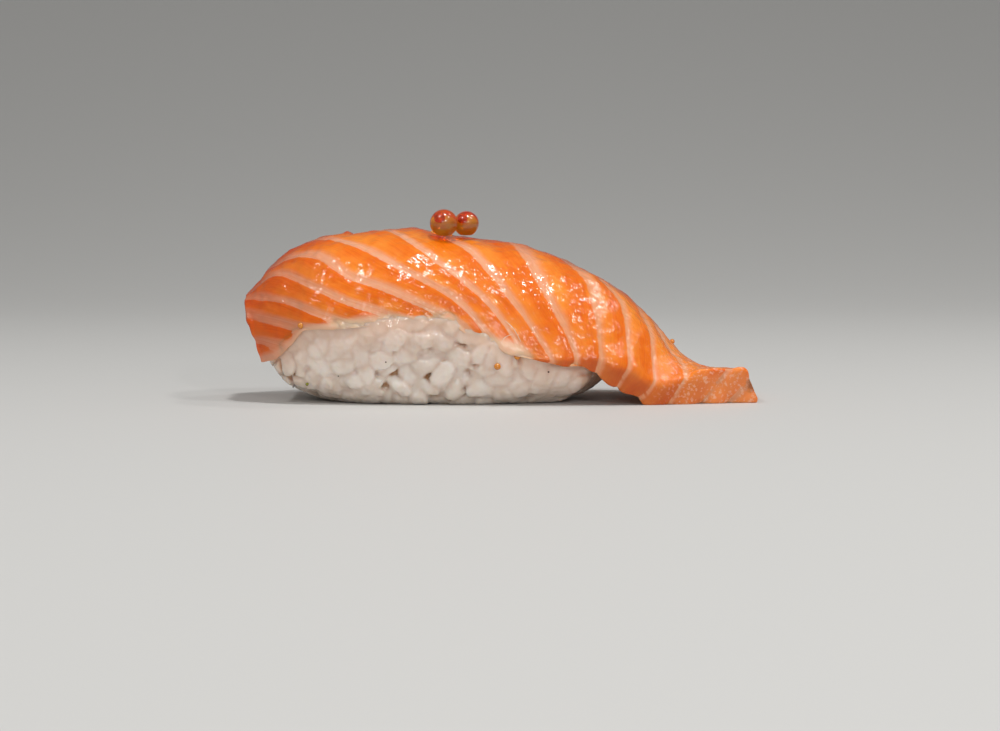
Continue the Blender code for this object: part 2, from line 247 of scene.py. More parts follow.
def ripple(points, size, seed, waves=18):
    """A smooth random field: a sum of sine waves in random directions, each about one size long."""
    random = np.random.default_rng(seed)
    heading = unit(random.normal(size=(waves, 3))) * (2 * math.pi / size)
    heading *= random.uniform(0.6, 1.5, size=(waves, 1))
    phase = random.uniform(0, 2 * math.pi, size=waves)
    return np.sin(points @ heading.T + phase).sum(axis=-1) * math.sqrt(2 / waves)


def make_piece(name, points, faces, material, attributes=None, uv=None):
    """Puts arrays of points and faces into a smooth-shaded mesh that rides on the frame's one body."""
    corners = points[faces[:, :3]]
    if np.linalg.det(corners).sum() < 0:
        faces = faces[:, ::-1]
    mesh = bpy.data.meshes.new(name)
    mesh.from_pydata(points.tolist(), [], faces.tolist())
    mesh.shade_smooth()
    for key, values in (attributes or {}).items():
        layer = mesh.attributes.new(key, "FLOAT", "POINT")
        layer.data.foreach_set("value", np.ascontiguousarray(values, np.float32).ravel())
    if uv is not None:
        corner_vertex = np.empty(len(mesh.loops), np.int32)
        mesh.loops.foreach_get("vertex_index", corner_vertex)
        layer = mesh.uv_layers.new(name="fibre")
        layer.data.foreach_set("uv", np.ascontiguousarray(uv[corner_vertex], np.float32).ravel())
    mesh.materials.append(material)
    mesh.update()
    piece = bpy.data.objects.new(name, mesh)
    bpy.context.scene.collection.objects.link(piece)
    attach(piece, "root")
    return piece


def grid_faces(rows, columns, wrap=False):
    """Quads of a grid of points in row-major order, closed across its columns if wrap is set."""
    last = columns if wrap else columns - 1
    r, c = np.meshgrid(np.arange(rows - 1), np.arange(last), indexing="ij")
    after = (c + 1) % columns
    return np.stack([r * columns + c, r * columns + after, (r + 1) * columns + after, (r + 1) * columns + c], -1).reshape(-1, 4)


# ---------------------------------------------------------------- the slice of salmon


def share_of_length(x):
    return x / SLICE_LENGTH + 0.5


def ridge_at(u):
    """The ridge's x and z at u, which runs evenly along it from 0 at the left end to 1 at the tail."""
    points = (np.array(RIDGE) - (0.5, 0.0)) * (SLICE_LENGTH, RIDGE_HEIGHT)
    walked = np.concatenate([[0.0], np.cumsum(np.hypot(*np.diff(points, axis=0).T))])
    walked /= walked[-1]
    return smooth_through(walked, points[:, 0], u), smooth_through(walked, points[:, 1], u)


def top_surface(u, v):
    """The slice's upper face. v is -1 at the back edge, 0 on the ridge and 1 at the front edge.

    A section is the part of an ellipse from its top, on the ridge, to where it has turned by the edge's
    angle. The front edge's waves are added near the edge alone, by the fifth power of v. Near the left end
    the section lags behind the ridge at its edges and bulges between them.
    """
    ridge_x, ridge_z = ridge_at(u)
    reach = np.abs(v)
    near_end = np.clip(1 - u / END_REACH, 0, 1) ** 2
    edge_x = ridge_x + END_LAG * near_end
    front, back = (table_at(edge, share_of_length(edge_x)) for edge in (FRONT_EDGE, BACK_EDGE))
    share = np.clip(share_of_length(edge_x), 0, 1)
    even = table_at(LINE_EDGE, share)[0]
    even = even + (front[1] - even) * smooth_step(0.42, 0.58, share)
    drop = np.where(v > 0, front[1] - even, 0.0)
    out, up, turn = (np.where(v > 0, f, b) for f, b in zip((front[0], even, front[2]), back))
    angle = np.radians(turn)
    across = np.sin(reach * angle) / np.sin(angle)
    height = (np.cos(reach * angle) - np.cos(angle)) / (1 - np.cos(angle))
    edge_z = up * RIDGE_HEIGHT
    bulge = END_BULGE * near_end * np.sin(math.pi * np.clip(reach, 0, 1))
    return np.stack(
        [
            ridge_x + END_LAG * near_end * reach**2.5 - bulge,
            -np.sign(v) * out * SLICE_HALF_WIDTH * across,
            edge_z + (ridge_z - edge_z) * height + drop * RIDGE_HEIGHT * reach**5,
        ],
        axis=-1,
    )


def top_normal(u, v):
    """The unit normal of the upper face, from points a little to each side."""
    step = 0.004
    along = top_surface(np.clip(u + step, 0, 1), v) - top_surface(np.clip(u - step, 0, 1), v)
    to_front = top_surface(u, v + step) - top_surface(u, v - step)
    return unit(np.cross(to_front, along))


def slice_point(u, v, depth):
    """A point of the slice: depth is 0 on the upper face and 1 on the lower one."""
    top = top_surface(u, v)
    normal = top_normal(u, v)
    rim_share, turn_down = table_at(FRONT_RIM, share_of_length(top[..., 0]))
    near_front = smooth_step(0.45, 1.0, v)
    near_back = smooth_step(0.70, 1.0, -v)
    thickness = SLICE_THICKNESS * (1 + (rim_share - 1) * near_front)
    film = (1 - smooth_step(0.56, 0.64, share_of_length(top[..., 0]))) * smooth_step(0.80, 1.0, v)
    thickness += (FILM_THICKNESS - thickness) * film
    thickness += (BACK_EDGE_THICKNESS - SLICE_THICKNESS) * near_back
    turned = (near_front * turn_down)[..., None]
    inward = unit(-normal * (1 - turned) + np.array((0.0, 0.2, -1.0)) * turned)
    point = top + inward * (depth * thickness)[..., None]
    point[..., 0] += TAIL_LEAN * smooth_step(0.93, 1.0, u) * depth
    return point


def rim_arc(count, power=3.4):
    """Half of a superellipse from the upper face round to the lower: how far out, and the depth."""
    angle = np.linspace(math.pi / 2, -math.pi / 2, count + 2)[1:-1]
    out = np.cos(angle) ** (2 / power)
    depth = 0.5 - 0.5 * np.sign(np.sin(angle)) * np.abs(np.sin(angle)) ** (2 / power)
    return out, depth


def section_loop():
    """v and depth round a section: over the top, round the front rim, back underneath, round the back rim."""
    rim_v = RIM_RADIUS / SLICE_HALF_WIDTH
    bulge = RIM_BULGE / SLICE_HALF_WIDTH
    inner = 1 - rim_v
    top_v = np.concatenate([np.linspace(-inner, 0, BACK_COLUMNS, endpoint=False), np.linspace(0, inner, FRONT_COLUMNS)])
    front_out, front_depth = rim_arc(FRONT_RIM_POINTS)
    back_out, back_depth = rim_arc(BACK_RIM_POINTS)
    v = np.concatenate([top_v, inner + (rim_v + bulge) * front_out, top_v[::-1], -inner - (rim_v + bulge) * back_out])
    depth = np.concatenate([top_v * 0, front_depth, top_v * 0 + 1, back_depth[::-1]])
    return v, depth, len(top_v)


def slice_rows():
    """u for each row, and how much of the thickness is kept there, less at the two rounded ends."""
    rim = RIM_RADIUS / SLICE_LENGTH
    turn = np.linspace(0, math.pi / 2, 6, endpoint=False)
    near = rim * (1 - np.cos(turn))
    kept = 1 - 0.36 * (1 - np.sin(turn))
    u = np.concatenate([near, np.linspace(rim, 1 - rim, ROWS_ALONG), 1 - near[::-1]])
    return u, np.concatenate([kept, np.ones(ROWS_ALONG), kept[::-1]])


def end_cap(loop_start, first_free, top_count, count):
    """Index pairs that face each other across a cut end, upper and lower, from back rim to front rim."""
    half_front, half_back = FRONT_RIM_POINTS // 2, BACK_RIM_POINTS // 2
    top = np.arange(top_count)
    front = top_count + np.arange(FRONT_RIM_POINTS)
    under = top_count + FRONT_RIM_POINTS + np.arange(top_count)
    back = 2 * top_count + FRONT_RIM_POINTS + np.arange(BACK_RIM_POINTS)
    upper = np.concatenate([back[half_back:], top, front[:half_front]])
    lower = np.concatenate([back[:half_back][::-1], under[::-1], front[half_front:][::-1]])
    upper, lower = upper + loop_start, lower + loop_start
    free = first_free + np.arange(CAP_ROWS * (len(upper) - 2)).reshape(CAP_ROWS, -1)
    index = np.concatenate([upper[None, 1:-1], free, lower[None, 1:-1]])
    faces = [grid_faces(*index.shape)]
    faces[0] = index.ravel()[faces[0]]
    middle = CAP_ROWS // 2
    for side in (0, -1):
        column, above, below = index[:, side], upper[side], lower[side]
        fan = [(above, *column[i : i + 3]) for i in range(0, middle, 2)]
        fan += [(above, column[middle], column[middle + 1], below)]
        fan += [(below, *column[i : i + 3]) for i in range(middle + 1, CAP_ROWS + 1, 2)]
        faces.append(np.array(fan)[:, :: 1 if side == 0 else -1])
    return upper[1:-1], lower[1:-1], np.concatenate(faces)


def slice_grid():
    """Every point of the slice's closed surface as u, v, depth and place, with its quads."""
    v, depth, top_count = section_loop()
    rows_u, kept = slice_rows()
    u_grid, v_grid = np.meshgrid(rows_u, v, indexing="ij")
    depth_grid = 0.5 + (depth[None] - 0.5) * kept[:, None]
    u, v, depth = (a.ravel() for a in (u_grid, v_grid, depth_grid))
    points = slice_point(u, v, depth)
    count = u_grid.shape[1]
    faces = [grid_faces(len(rows_u), count, wrap=True)]
    blocks = [np.column_stack([u, v, depth, points])]
    made = len(points)
    for loop_start, flip in ((0, True), ((len(rows_u) - 1) * count, False)):
        upper, lower, cap = end_cap(loop_start, made, top_count, count)
        share = (np.arange(1, CAP_ROWS + 1) / (CAP_ROWS + 1))[:, None, None]
        whole = blocks[0]
        blocks.append((whole[upper] * (1 - share) + whole[lower] * share).reshape(-1, 6))
        made += CAP_ROWS * len(upper)
        faces.append(cap[:, ::-1] if flip else cap)
    table = np.concatenate(blocks)
    return table[:, 0], table[:, 1], table[:, 2], table[:, 3:], np.concatenate(faces)


def line_reach(points, v):
    """How far round the section each point lies as the fat lines see it: by height on the left, by v on the right.

    On the left it is the angle of an ellipse from the ridge down to LINE_EDGE, over a right angle.
    """
    share = np.clip(share_of_length(points[:, 0]), 0, 1)
    edge = table_at(LINE_EDGE, share)[0] * RIDGE_HEIGHT
    ridge = table_at(RIDGE, share)[0] * RIDGE_HEIGHT
    corner = math.radians(88)
    height = (points[:, 2] - edge) / (ridge - edge)
    by_height = np.arccos(np.clip(height * (1 - math.cos(corner)) + math.cos(corner), -1, 1)) / corner
    by_height = by_height * (1 - smooth_step(0.42, 0.58, share)) + v * smooth_step(0.42, 0.58, share)
    return np.where(v > 0, by_height, v)


def fat_layout(share, reach, depth):
    """Where each point lies among the fat lines.

    Returns the line number, with the fraction of the way to the next line, and the distance from the
    nearest line's middle over half its width.
    """
    stops = np.array(LINE_STOPS)
    inside = np.clip(reach, stops[0], stops[-1])
    lean = table_at(LINE_LEAN, np.clip(share, 0, 1))[0] * depth
    lines, slant, half_width = [], [], []
    for line in FAT_LINES:
        places = np.array(line[:-2])
        lines.append(smooth_through(stops, places, inside) - lean)
        ahead = smooth_through(stops, places, inside + 0.02)
        behind = smooth_through(stops, places, inside - 0.02)
        slant.append((ahead - behind) / 0.04)
        half_width.append((line[-2] + (line[-1] - line[-2]) * np.clip(np.abs(reach), 0, 1)) * MM / 2)
    lines, slant, half_width = np.array(lines), np.array(slant), np.array(half_width)
    step = np.maximum(np.diff(lines, axis=0), 1e-4)
    number = np.clip((share - lines[:-1]) / step, 0, 1).sum(axis=0)
    number += np.clip((share - lines[0]) / step[0], None, 0) + np.clip((share - lines[-1]) / step[-1], 0, None)
    square = np.sqrt(1 + (slant * SLICE_LENGTH / HALF_GIRTH) ** 2)
    offset = np.abs(share - lines) * SLICE_LENGTH / square / half_width
    return number, offset.min(axis=0)


def slice_relief(points, share, v, depth, number, offset):
    """How far each point stands out: muscles swell between the fat lines, most under the thick cut edge.

    A nick in the ridge near the left end is a small rise with a dip beside it.
    """
    cut = smooth_step(0.90, 1.0, v) * smooth_step(0.66, 0.72, share)
    swell = np.abs(np.sin(math.pi * (number % 1.0))) ** 0.7
    relief = -0.10 * MM * np.exp(-((offset / 0.9) ** 2)) * (1 - cut)
    relief += cut * (0.42 * swell - 0.22) * (1 + 0.9 * smooth_step(0.6, 1.0, depth)) * MM
    x = points[:, 0] / MM
    on_ridge = np.exp(-(((v + 0.03) / 0.07) ** 2)) * (depth < 0.5)
    relief += on_ridge * (0.50 * np.exp(-(((x + 25.1) / 0.8) ** 2)) - 0.40 * np.exp(-(((x + 23.3) / 0.9) ** 2))) * MM
    relief += 0.10 * MM * ripple(points, 9 * MM, 3) + 0.04 * MM * ripple(points, 2.6 * MM, 4)
    relief += 0.014 * MM * ripple(points, 1.0 * MM, 5, waves=30)
    return relief


def make_slice(material):
    """The slice: its grid, moved along its normals by the relief, and set down on the board."""
    u, v, depth, points, faces = slice_grid()
    low, high = points.min(axis=0), points.max(axis=0)
    box_low, box_high = (np.array(corner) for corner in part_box("salmon_slice"))
    shift = (box_low + box_high - low - high) / 2
    shift[2] = 0.0
    share = share_of_length(points[:, 0])
    number, offset = fat_layout(share, line_reach(points, v), depth)
    piece = make_piece("salmon_slice_flesh", points, faces, material)
    normals = np.empty(len(points) * 3, np.float32)
    piece.data.vertices.foreach_get("normal", normals)
    relief = slice_relief(points, share, v, depth, number, offset)
    points = points + normals.reshape(-1, 3) * relief[:, None]
    points[:, 2] = np.maximum(points[:, 2], 0.0)
    points += shift
    piece.data.vertices.foreach_set("co", points.astype(np.float32).ravel())
    thin = 1 - smooth_step(0.53, 0.57, share)
    fading = np.exp(-(((share - 0.24) / 0.06) ** 2)) + np.exp(-(((share - 0.515) / 0.025) ** 2))
    through = np.exp(-(((share - 0.452) / 0.020) ** 2))
    film_start = 0.965 - 0.05 * fading + 0.06 * through
    film = smooth_step(film_start, film_start + 0.03 + 0.03 * fading, v) * thin
    flare = 0.9 * smooth_step(0.90, 1.0, v) ** 2 * thin * (1 - through)
    lower_right = smooth_step(0.15, 0.95, v) * smooth_step(0.42, 0.58, share) * (1 - smooth_step(0.90, 0.97, share))
    offset = offset + 0.30 * lower_right
    looks = {
        "fat_reach": np.clip(offset - flare, -1, 4),
        "fat_side": np.sin(2 * math.pi * number),
        "film": film,
        "ridge": np.exp(-(((v + 0.06) / 0.22) ** 2)) * (depth < 0.5) * (1 - smooth_step(0.78, 0.86, share)),
        # The cut face at the right, which the material darkens with painted shade.
        "cut_side": smooth_step(0.0, 0.25, depth) * smooth_step(0.95, 1.0, v) * (1 - thin),
    }
    for key, values in looks.items():
        layer = piece.data.attributes.new(key, "FLOAT", "POINT")
        layer.data.foreach_set("value", np.ascontiguousarray(values, np.float32))
    uv = np.column_stack([number * 6.0, v * HALF_GIRTH / MM + depth * 5.0])
    corner_vertex = np.empty(len(piece.data.loops), np.int32)
    piece.data.loops.foreach_get("vertex_index", corner_vertex)
    layer = piece.data.uv_layers.new(name="fibre")
    layer.data.foreach_set("uv", uv[corner_vertex].astype(np.float32).ravel())
    piece.data.update()
    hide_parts("salmon_slice")
    return piece, shift


# ---------------------------------------------------------------- the rice


def mound_radius(direction):
    """How far the pressed outline of the rice lies from its middle, along unit directions.

    It is a superellipsoid: ((x/a)^p + (y/b)^p)^(q/p) + (z/c)^q = 1. Below the waist c is smaller, and q
    grows from the ends to the long sides, which so stand steeper.
    """
    half_length = (RICE_RIGHT - RICE_LEFT) / 2
    x, y, z = np.abs(direction).T
    half_height = np.where(direction[:, 2] > 0, RICE_DOME, RICE_WAIST + RICE_FLAT)
    p = RICE_PLAN_POWER
    q = RICE_END_POWER + (RICE_SIDE_POWER - RICE_END_POWER) * y**2 / np.maximum(x**2 + y**2, 1e-9)
    plan = ((x / half_length) ** p + (y / RICE_HALF_WIDTH) ** p) ** (q / p)
    return (plan + (z / half_height) ** q) ** (-1 / q)


def stretched_directions(points):
    """Unit directions that spread points of a sphere evenly over the oblong."""
    half_length = (RICE_RIGHT - RICE_LEFT) / 2
    return unit(points * (half_length, RICE_HALF_WIDTH, RICE_WAIST * 1.6))


class Envelope:
    """The outline that the rice is pressed to: the lower face of the slice where that covers it, else the mound.

    Just below the slice's edge the mound swells until it is flush with the slice, as rice pressed by hand is.
    """

    TURNS, CLIMBS = 360, 180

    def __init__(self, covering):
        self.middle = np.array(((RICE_LEFT + RICE_RIGHT) / 2, 0.0, RICE_WAIST))
        turn = (np.arange(self.TURNS) + 0.5) / self.TURNS * 2 * math.pi
        climb = (np.arange(self.CLIMBS) + 0.5) / self.CLIMBS * math.pi - math.pi / 2
        tree = BVHTree.FromPolygons(*covering)
        middle = Vector(self.middle)
        self.room = np.full((self.TURNS, self.CLIMBS), np.inf)
        outside = np.full((self.TURNS, self.CLIMBS), np.inf)
        for i, a in enumerate(turn):
            for j, b in enumerate(climb):
                heading = Vector((math.cos(a) * math.cos(b), math.sin(a) * math.cos(b), math.sin(b)))
                found = tree.ray_cast(middle, heading)
                if found[3] is None:
                    continue
                self.room[i, j] = found[3]
                beyond = tree.ray_cast(found[0] + heading * 0.01 * MM, heading)
                if beyond[3] is not None:
                    outside[i, j] = found[3] + beyond[3] + 0.01 * MM
        t, c = np.meshgrid(turn, climb, indexing="ij")
        heading = np.stack([np.cos(t) * np.cos(c), np.sin(t) * np.cos(c), np.sin(c)], -1)
        self.outline = mound_radius(heading.reshape(-1, 3)).reshape(t.shape)
        covered = np.isfinite(self.room)
        edge = np.where(covered.any(axis=1), covered.argmax(axis=1), 0)
        rows = np.arange(self.TURNS)
        at_edge = np.minimum(edge + 1, self.CLIMBS - 1)
        step_out = self.room[rows, at_edge] + FILM_THICKNESS * 0.9 - self.outline[rows, at_edge]
        step_out = np.where(covered.any(axis=1), np.clip(np.nan_to_num(step_out, posinf=0), 0, MOST_SWELL), 0)
        at_end = smooth_step(0.89, 0.97, np.cos(turn))
        step_out *= 1 - at_end
        below = (edge[:, None] - np.arange(self.CLIMBS)) * math.pi / self.CLIMBS * self.outline
        swell = step_out[:, None] * np.exp(-((np.maximum(below, 0) / SWELL_FADE) ** 2))
        place_x = self.middle[0] + heading[..., 0] * np.where(np.isfinite(self.room), self.room, 0.0)
        above = np.maximum(-below, 0) / LIP_COVER
        film = np.nan_to_num(outside - self.room, nan=1.0, posinf=1.0)
        lapped = covered & (above < 1) & (film < 5 * FILM_THICKNESS) & (heading[..., 1] < -0.2) & (place_x < 4 * MM)
        self.edge_gap = np.where(lapped, 0.0, np.where(covered, -1.0, below))
        furthest = self.outline + MOST_SWELL * (1 - at_end[:, None])
        beyond = np.where(covered, np.maximum(self.room - 0.05 * MM - furthest, 0), 0.0)
        beyond *= smooth_step(6.0 * MM, 10.0 * MM, place_x)
        self.outline = np.where(covered, self.room - 0.05 * MM - beyond, self.outline + swell)
        lap = outside + LIP_RISE - (LIP_RISE + 0.5 * FILM_THICKNESS) * above**2
        lap -= 1.5 * FILM_THICKNESS * smooth_step(-2.0 * MM, 3.0 * MM, place_x)
        lap -= 1.5 * FILM_THICKNESS * smooth_step(0.60, 0.76, -np.cos(turn))[:, None]
        self.outline = np.where(lapped, lap, self.outline)

    def read(self, table, direction):
        """A table over turn and climb, read between its four nearest entries."""
        turn = (np.arctan2(direction[:, 1], direction[:, 0]) / (2 * math.pi)) % 1.0 * self.TURNS - 0.5
        climb = (np.arcsin(np.clip(direction[:, 2], -1, 1)) / math.pi + 0.5) * self.CLIMBS - 0.5
        i, j = np.floor(turn).astype(int), np.clip(np.floor(climb).astype(int), 0, self.CLIMBS - 2)
        s, t = turn - i, np.clip(climb - j, 0, 1)
        left, right = i % self.TURNS, (i + 1) % self.TURNS
        low = table[left, j] * (1 - s) + table[right, j] * s
        high = table[left, j + 1] * (1 - s) + table[right, j + 1] * s
        return low * (1 - t) + high * t

    def radius(self, direction):
        return self.read(self.outline, direction)

    def covered(self, direction):
        return self.read(self.edge_gap, direction) < -0.3

    def press(self, points, proud):
        """Points beyond the outline come back to it, and may stand proud of it a little in the open."""
        away = points - self.middle
        far = np.linalg.norm(away, axis=1)
        direction = away / far[:, None]
        limit = self.radius(direction)
        proud = 0.03 * MM + (proud - 0.03 * MM) * smooth_step(0.1 * MM, 3.0 * MM, self.read(self.edge_gap, direction))
        excess = np.maximum(far - limit, 0)
        far = np.where(far > limit, limit + proud * np.tanh(excess / (1.15 * proud)), far)
        pressed = self.middle + direction * far[:, None]
        pressed[:, 2] = np.maximum(pressed[:, 2], 0.0)
        return pressed


def grain_template(rings, around, blunt=0.62):
    """One grain of unit size: rings of a blunt oblong, closed by a point at each end, with its faces."""
    t = np.linspace(0, math.pi, rings + 2)[1:-1]
    a = np.linspace(0, 2 * math.pi, around, endpoint=False)
    girth = np.sin(t) ** blunt
    x = -np.cos(t)[:, None] + 0 * a
    points = np.stack([x, girth[:, None] * np.cos(a), girth[:, None] * np.sin(a)], -1).reshape(-1, 3)
    points = np.concatenate([points, [(-1, 0, 0), (1, 0, 0)]])
    k = np.arange(around)
    after = (k + 1) % around
    first, last, top = rings * around, rings * around + 1, (rings - 1) * around
    low = np.stack([np.full(around, first), after, k], -1)
    high = np.stack([top + k, top + after, np.full(around, last)], -1)
    return points, grid_faces(rings, around, wrap=True), np.concatenate([low, high])


def front_grains(envelope):
    """The grains listed for the front, as middles and axes, from where they show and how they lie."""
    x, z, roll, length, width = np.array(FRONT_GRAINS).T
    x, z = x * MM, z * MM
    directions = unit(np.stack([x - envelope.middle[0], np.full(len(x), -0.0125), z - envelope.middle[2]], -1))
    for _ in range(12):
        far = envelope.radius(directions)
        y = directions[:, 1] * far
        directions = unit(np.stack([x - envelope.middle[0], y, z - envelope.middle[2]], -1))
    outward = unit(directions * (0.6, 1.0, 1.0))
    roll = np.radians(roll)
    along = np.stack([np.cos(roll), 0 * roll, np.sin(roll)], -1)
    along = unit(along - outward * (along * outward).sum(axis=1, keepdims=True))
    frames = np.stack([along, np.cross(outward, along), outward], axis=1)
    sizes = np.stack([length, width, width * 0.88], -1) * MM / 2
    places = envelope.middle + directions * (envelope.radius(directions) - 0.72 * sizes[:, 2])[:, None]
    return places, frames, sizes


def reach_towards(heading, frames, sizes):
    """How far each grain, as an ellipsoid, reaches from its middle along a unit heading."""
    return 1 / np.linalg.norm(np.einsum("gkj,gj->gk", frames, heading) / sizes, axis=1)


def scatter(envelope, overlap, sunk, seed, taken):
    """Grains sunk below the outline, each kept if it overlaps no kept or taken one by more than its share.

    Candidates come in a seeded random order over the whole outline, each with its own turn and size.
    """
    random = np.random.default_rng(seed)
    directions = stretched_directions(unit(random.normal(size=(CANDIDATES, 3))))
    near_edge = np.exp(-((envelope.read(envelope.edge_gap, directions) / (2.0 * MM)) ** 2))
    depth = sunk * random.uniform(0.6, 1.45, size=len(directions)) * (1 - 0.45 * near_edge)
    places = envelope.middle + directions * (envelope.radius(directions) - depth)[:, None]
    sizes = np.array(GRAIN_HALF_AXES) * random.uniform(0.86, 1.1, size=(len(places), 1))
    sizes = sizes * random.uniform(0.92, 1.08, size=(len(places), 3))
    frames = grain_frames(directions, seed + 1, 0.25)
    kept = [np.array(part) for part in taken]
    start = len(kept[0])
    for i in np.flatnonzero(places[:, 2] > 0.7 * MM):
        away = kept[0] - places[i]
        gap = np.linalg.norm(away, axis=1)
        heading = away / np.maximum(gap, 1e-9)[:, None]
        one = np.broadcast_to(frames[i], kept[1].shape), np.broadcast_to(sizes[i], kept[2].shape)
        room = (1 - overlap) * (reach_towards(heading, *one) + reach_towards(heading, kept[1], kept[2]))
        if (gap > room).all():
            fresh = places[i], frames[i], sizes[i]
            kept = [np.concatenate([part, [more]]) for part, more in zip(kept, fresh)]
    return [part[start:] for part in kept]


def grain_frames(directions, seed, tilt):
    """Three axes for each grain: its length lies along the surface and turns slowly from place to place.

    The turn from level is a slow ripple over the ball plus a random part, so that neighbours lie together.
    """
    random = np.random.default_rng(seed)
    outward = unit(directions + tilt * random.normal(size=directions.shape))
    level = unit(np.cross(outward, (0.03, 0.05, 1.0)))
    turn = 0.75 * ripple(directions, 0.9, seed + 7) + 0.40 * random.normal(size=len(directions))
    length = level * np.cos(turn)[:, None] + np.cross(outward, level) * np.sin(turn)[:, None]
    return np.stack([length, np.cross(outward, length), outward], axis=1)


def grain_mesh(envelope, places, frames, sizes, template, seed, proud):
    """Points and faces of separate grains, each bent, tapered and dented its own way and pressed to the outline."""
    shape, quads, tris = template
    random = np.random.default_rng(seed)
    count = len(places)
    local = shape[None] * sizes[:, None]
    bend = random.uniform(-0.26, 0.26, size=(count, 1))
    local[..., 1] += bend * local[..., 0] ** 2 / sizes[:, :1]
    taper = random.uniform(-0.15, 0.15, size=(count, 1))
    local[..., 1:] *= (1 + taper * shape[None, :, 0])[..., None]
    points = (places[:, None] + np.einsum("gmk,gkj->gmj", local, frames)).reshape(-1, 3)
    away = unit(points - np.repeat(places, len(shape), axis=0))
    points += away * (0.08 * MM * ripple(points, 2.4 * MM, seed + 1))[:, None]
    points = envelope.press(points, proud)
    offsets = (np.arange(count) * len(shape))[:, None, None]
    return points, (quads[None] + offsets).reshape(-1, 4), (tris[None] + offsets).reshape(-1, 3)


def core_mesh(envelope):
    """The mashed starch between the grains: the outline drawn in a little, and by most of a grain in a few pits."""
    shape, quads, tris = grain_template(100, 190, blunt=1.0)
    directions = stretched_directions(unit(shape))
    near_edge = np.exp(-((envelope.read(envelope.edge_gap, directions) / (1.6 * MM)) ** 2))
    outline = envelope.radius(directions)
    pit = smooth_step(0.9, 1.5, ripple(directions * outline[:, None], 5 * MM, 81))
    far = outline - (FILLER_DEPTH + (CORE_DEPTH - FILLER_DEPTH) * pit) * (1 - 0.9 * near_edge)
    points = envelope.middle + directions * far[:, None]
    points[:, 2] = np.maximum(points[:, 2], 0.3 * MM)
    return points, quads, tris


def joined(parts):
    """Several lists of points, quads and triangles as one."""
    points, faces, start = [], [], 0
    for part, quads, tris in parts:
        points.append(part)
        faces += (quads + start).tolist() + (tris + start).tolist()
        start += len(part)
    return np.concatenate(points), faces


def pressed_together(points, faces, voxel, smoothing):
    """The outer surface of all the grains at once, with soft creases where they stick to each other."""
    mesh = bpy.data.meshes.new("loose_grains")
    mesh.from_pydata(points.tolist(), [], faces)
    loose = bpy.data.objects.new("loose_grains", mesh)
    bpy.context.scene.collection.objects.link(loose)
    melt = loose.modifiers.new("stick", "REMESH")
    melt.mode, melt.voxel_size = "VOXEL", voxel
    soft = loose.modifiers.new("soften", "SMOOTH")
    soft.factor, soft.iterations = 0.5, smoothing
    merged = bpy.data.meshes.new_from_object(loose.evaluated_get(bpy.context.evaluated_depsgraph_get()))
    bpy.data.objects.remove(loose)
    return one_body(merged)


def one_body(mesh):
    """The largest joined body of a mesh of quads, without the few loose flakes that the merging leaves beside it.

    Each point takes the lowest number among the points that it shares a quad with, until nothing changes.
    """
    points = np.empty(len(mesh.vertices) * 3, np.float32)
    mesh.vertices.foreach_get("co", points)
    quads = np.empty(len(mesh.loops), np.int32)
    mesh.loops.foreach_get("vertex_index", quads)
    quads = quads.reshape(-1, 4)
    body = np.arange(len(mesh.vertices))
    settled = False
    while not settled:
        lowest = body.copy()
        np.minimum.at(lowest, quads.ravel(), np.repeat(body[quads].min(axis=1), 4))
        lowest = lowest[lowest]
        settled = bool((lowest == body).all())
        body = lowest
    kept = body == np.bincount(body).argmax()
    quads = (np.cumsum(kept) - 1)[quads[kept[quads[:, 0]]]]
    whole = bpy.data.meshes.new("pressed_grains")
    whole.from_pydata(points.reshape(-1, 3)[kept].tolist(), [], quads.tolist())
    return whole


def make_rice(slice_piece, material):
    """The rice: listed front grains and scattered ones in two layers round a core, stuck into one surface."""
    vertices = np.empty(len(slice_piece.data.vertices) * 3, np.float32)
    slice_piece.data.vertices.foreach_get("co", vertices)
    faces = [tuple(polygon.vertices) for polygon in slice_piece.data.polygons]
    envelope = Envelope((vertices.reshape(-1, 3).tolist(), faces))
    fine, coarse = grain_template(13, 18), grain_template(8, 12)
    heroes = front_grains(envelope)
    parts = [grain_mesh(envelope, *heroes, fine, 24, 0.55 * MM)]
    grains = [heroes]
    taken = heroes
    for overlap, sunk, seed, template, proud in (
        (0.20, 0.95 * MM, 21, fine, 0.50 * MM),
        (0.25, 2.2 * MM, 31, coarse, 0.3 * MM),
    ):
        layer = scatter(envelope, overlap, sunk, seed, taken)
        parts.append(grain_mesh(envelope, *layer, template, seed + 2, proud))
        grains.append(layer)
        taken = [part[:0] for part in layer]
    parts.append(core_mesh(envelope))
    merged = pressed_together(*joined(parts), VOXEL, 3)
    return finish_rice(merged, envelope, [np.concatenate(part) for part in zip(*grains)], material)


def nearest_grains(points, places, frames, sizes):
    """For each point the number of the grain it is on, and how much farther the next grain's surface lies.

    A grain is an ellipsoid here, and distance is measured in shares of its half width from its surface.
    """
    best = np.full(len(points), np.inf)
    second = np.full(len(points), np.inf)
    owner = np.zeros(len(points), int)
    for i, (place, frame, size) in enumerate(zip(places, frames, sizes)):
        local = ((points - place) @ frame.T) / size
        reach = np.sqrt((local**2).sum(axis=1))
        closer = reach < best
        second = np.where(closer, best, np.minimum(second, reach))
        best = np.where(closer, reach, best)
        owner = np.where(closer, i, owner)
    return owner, second - best


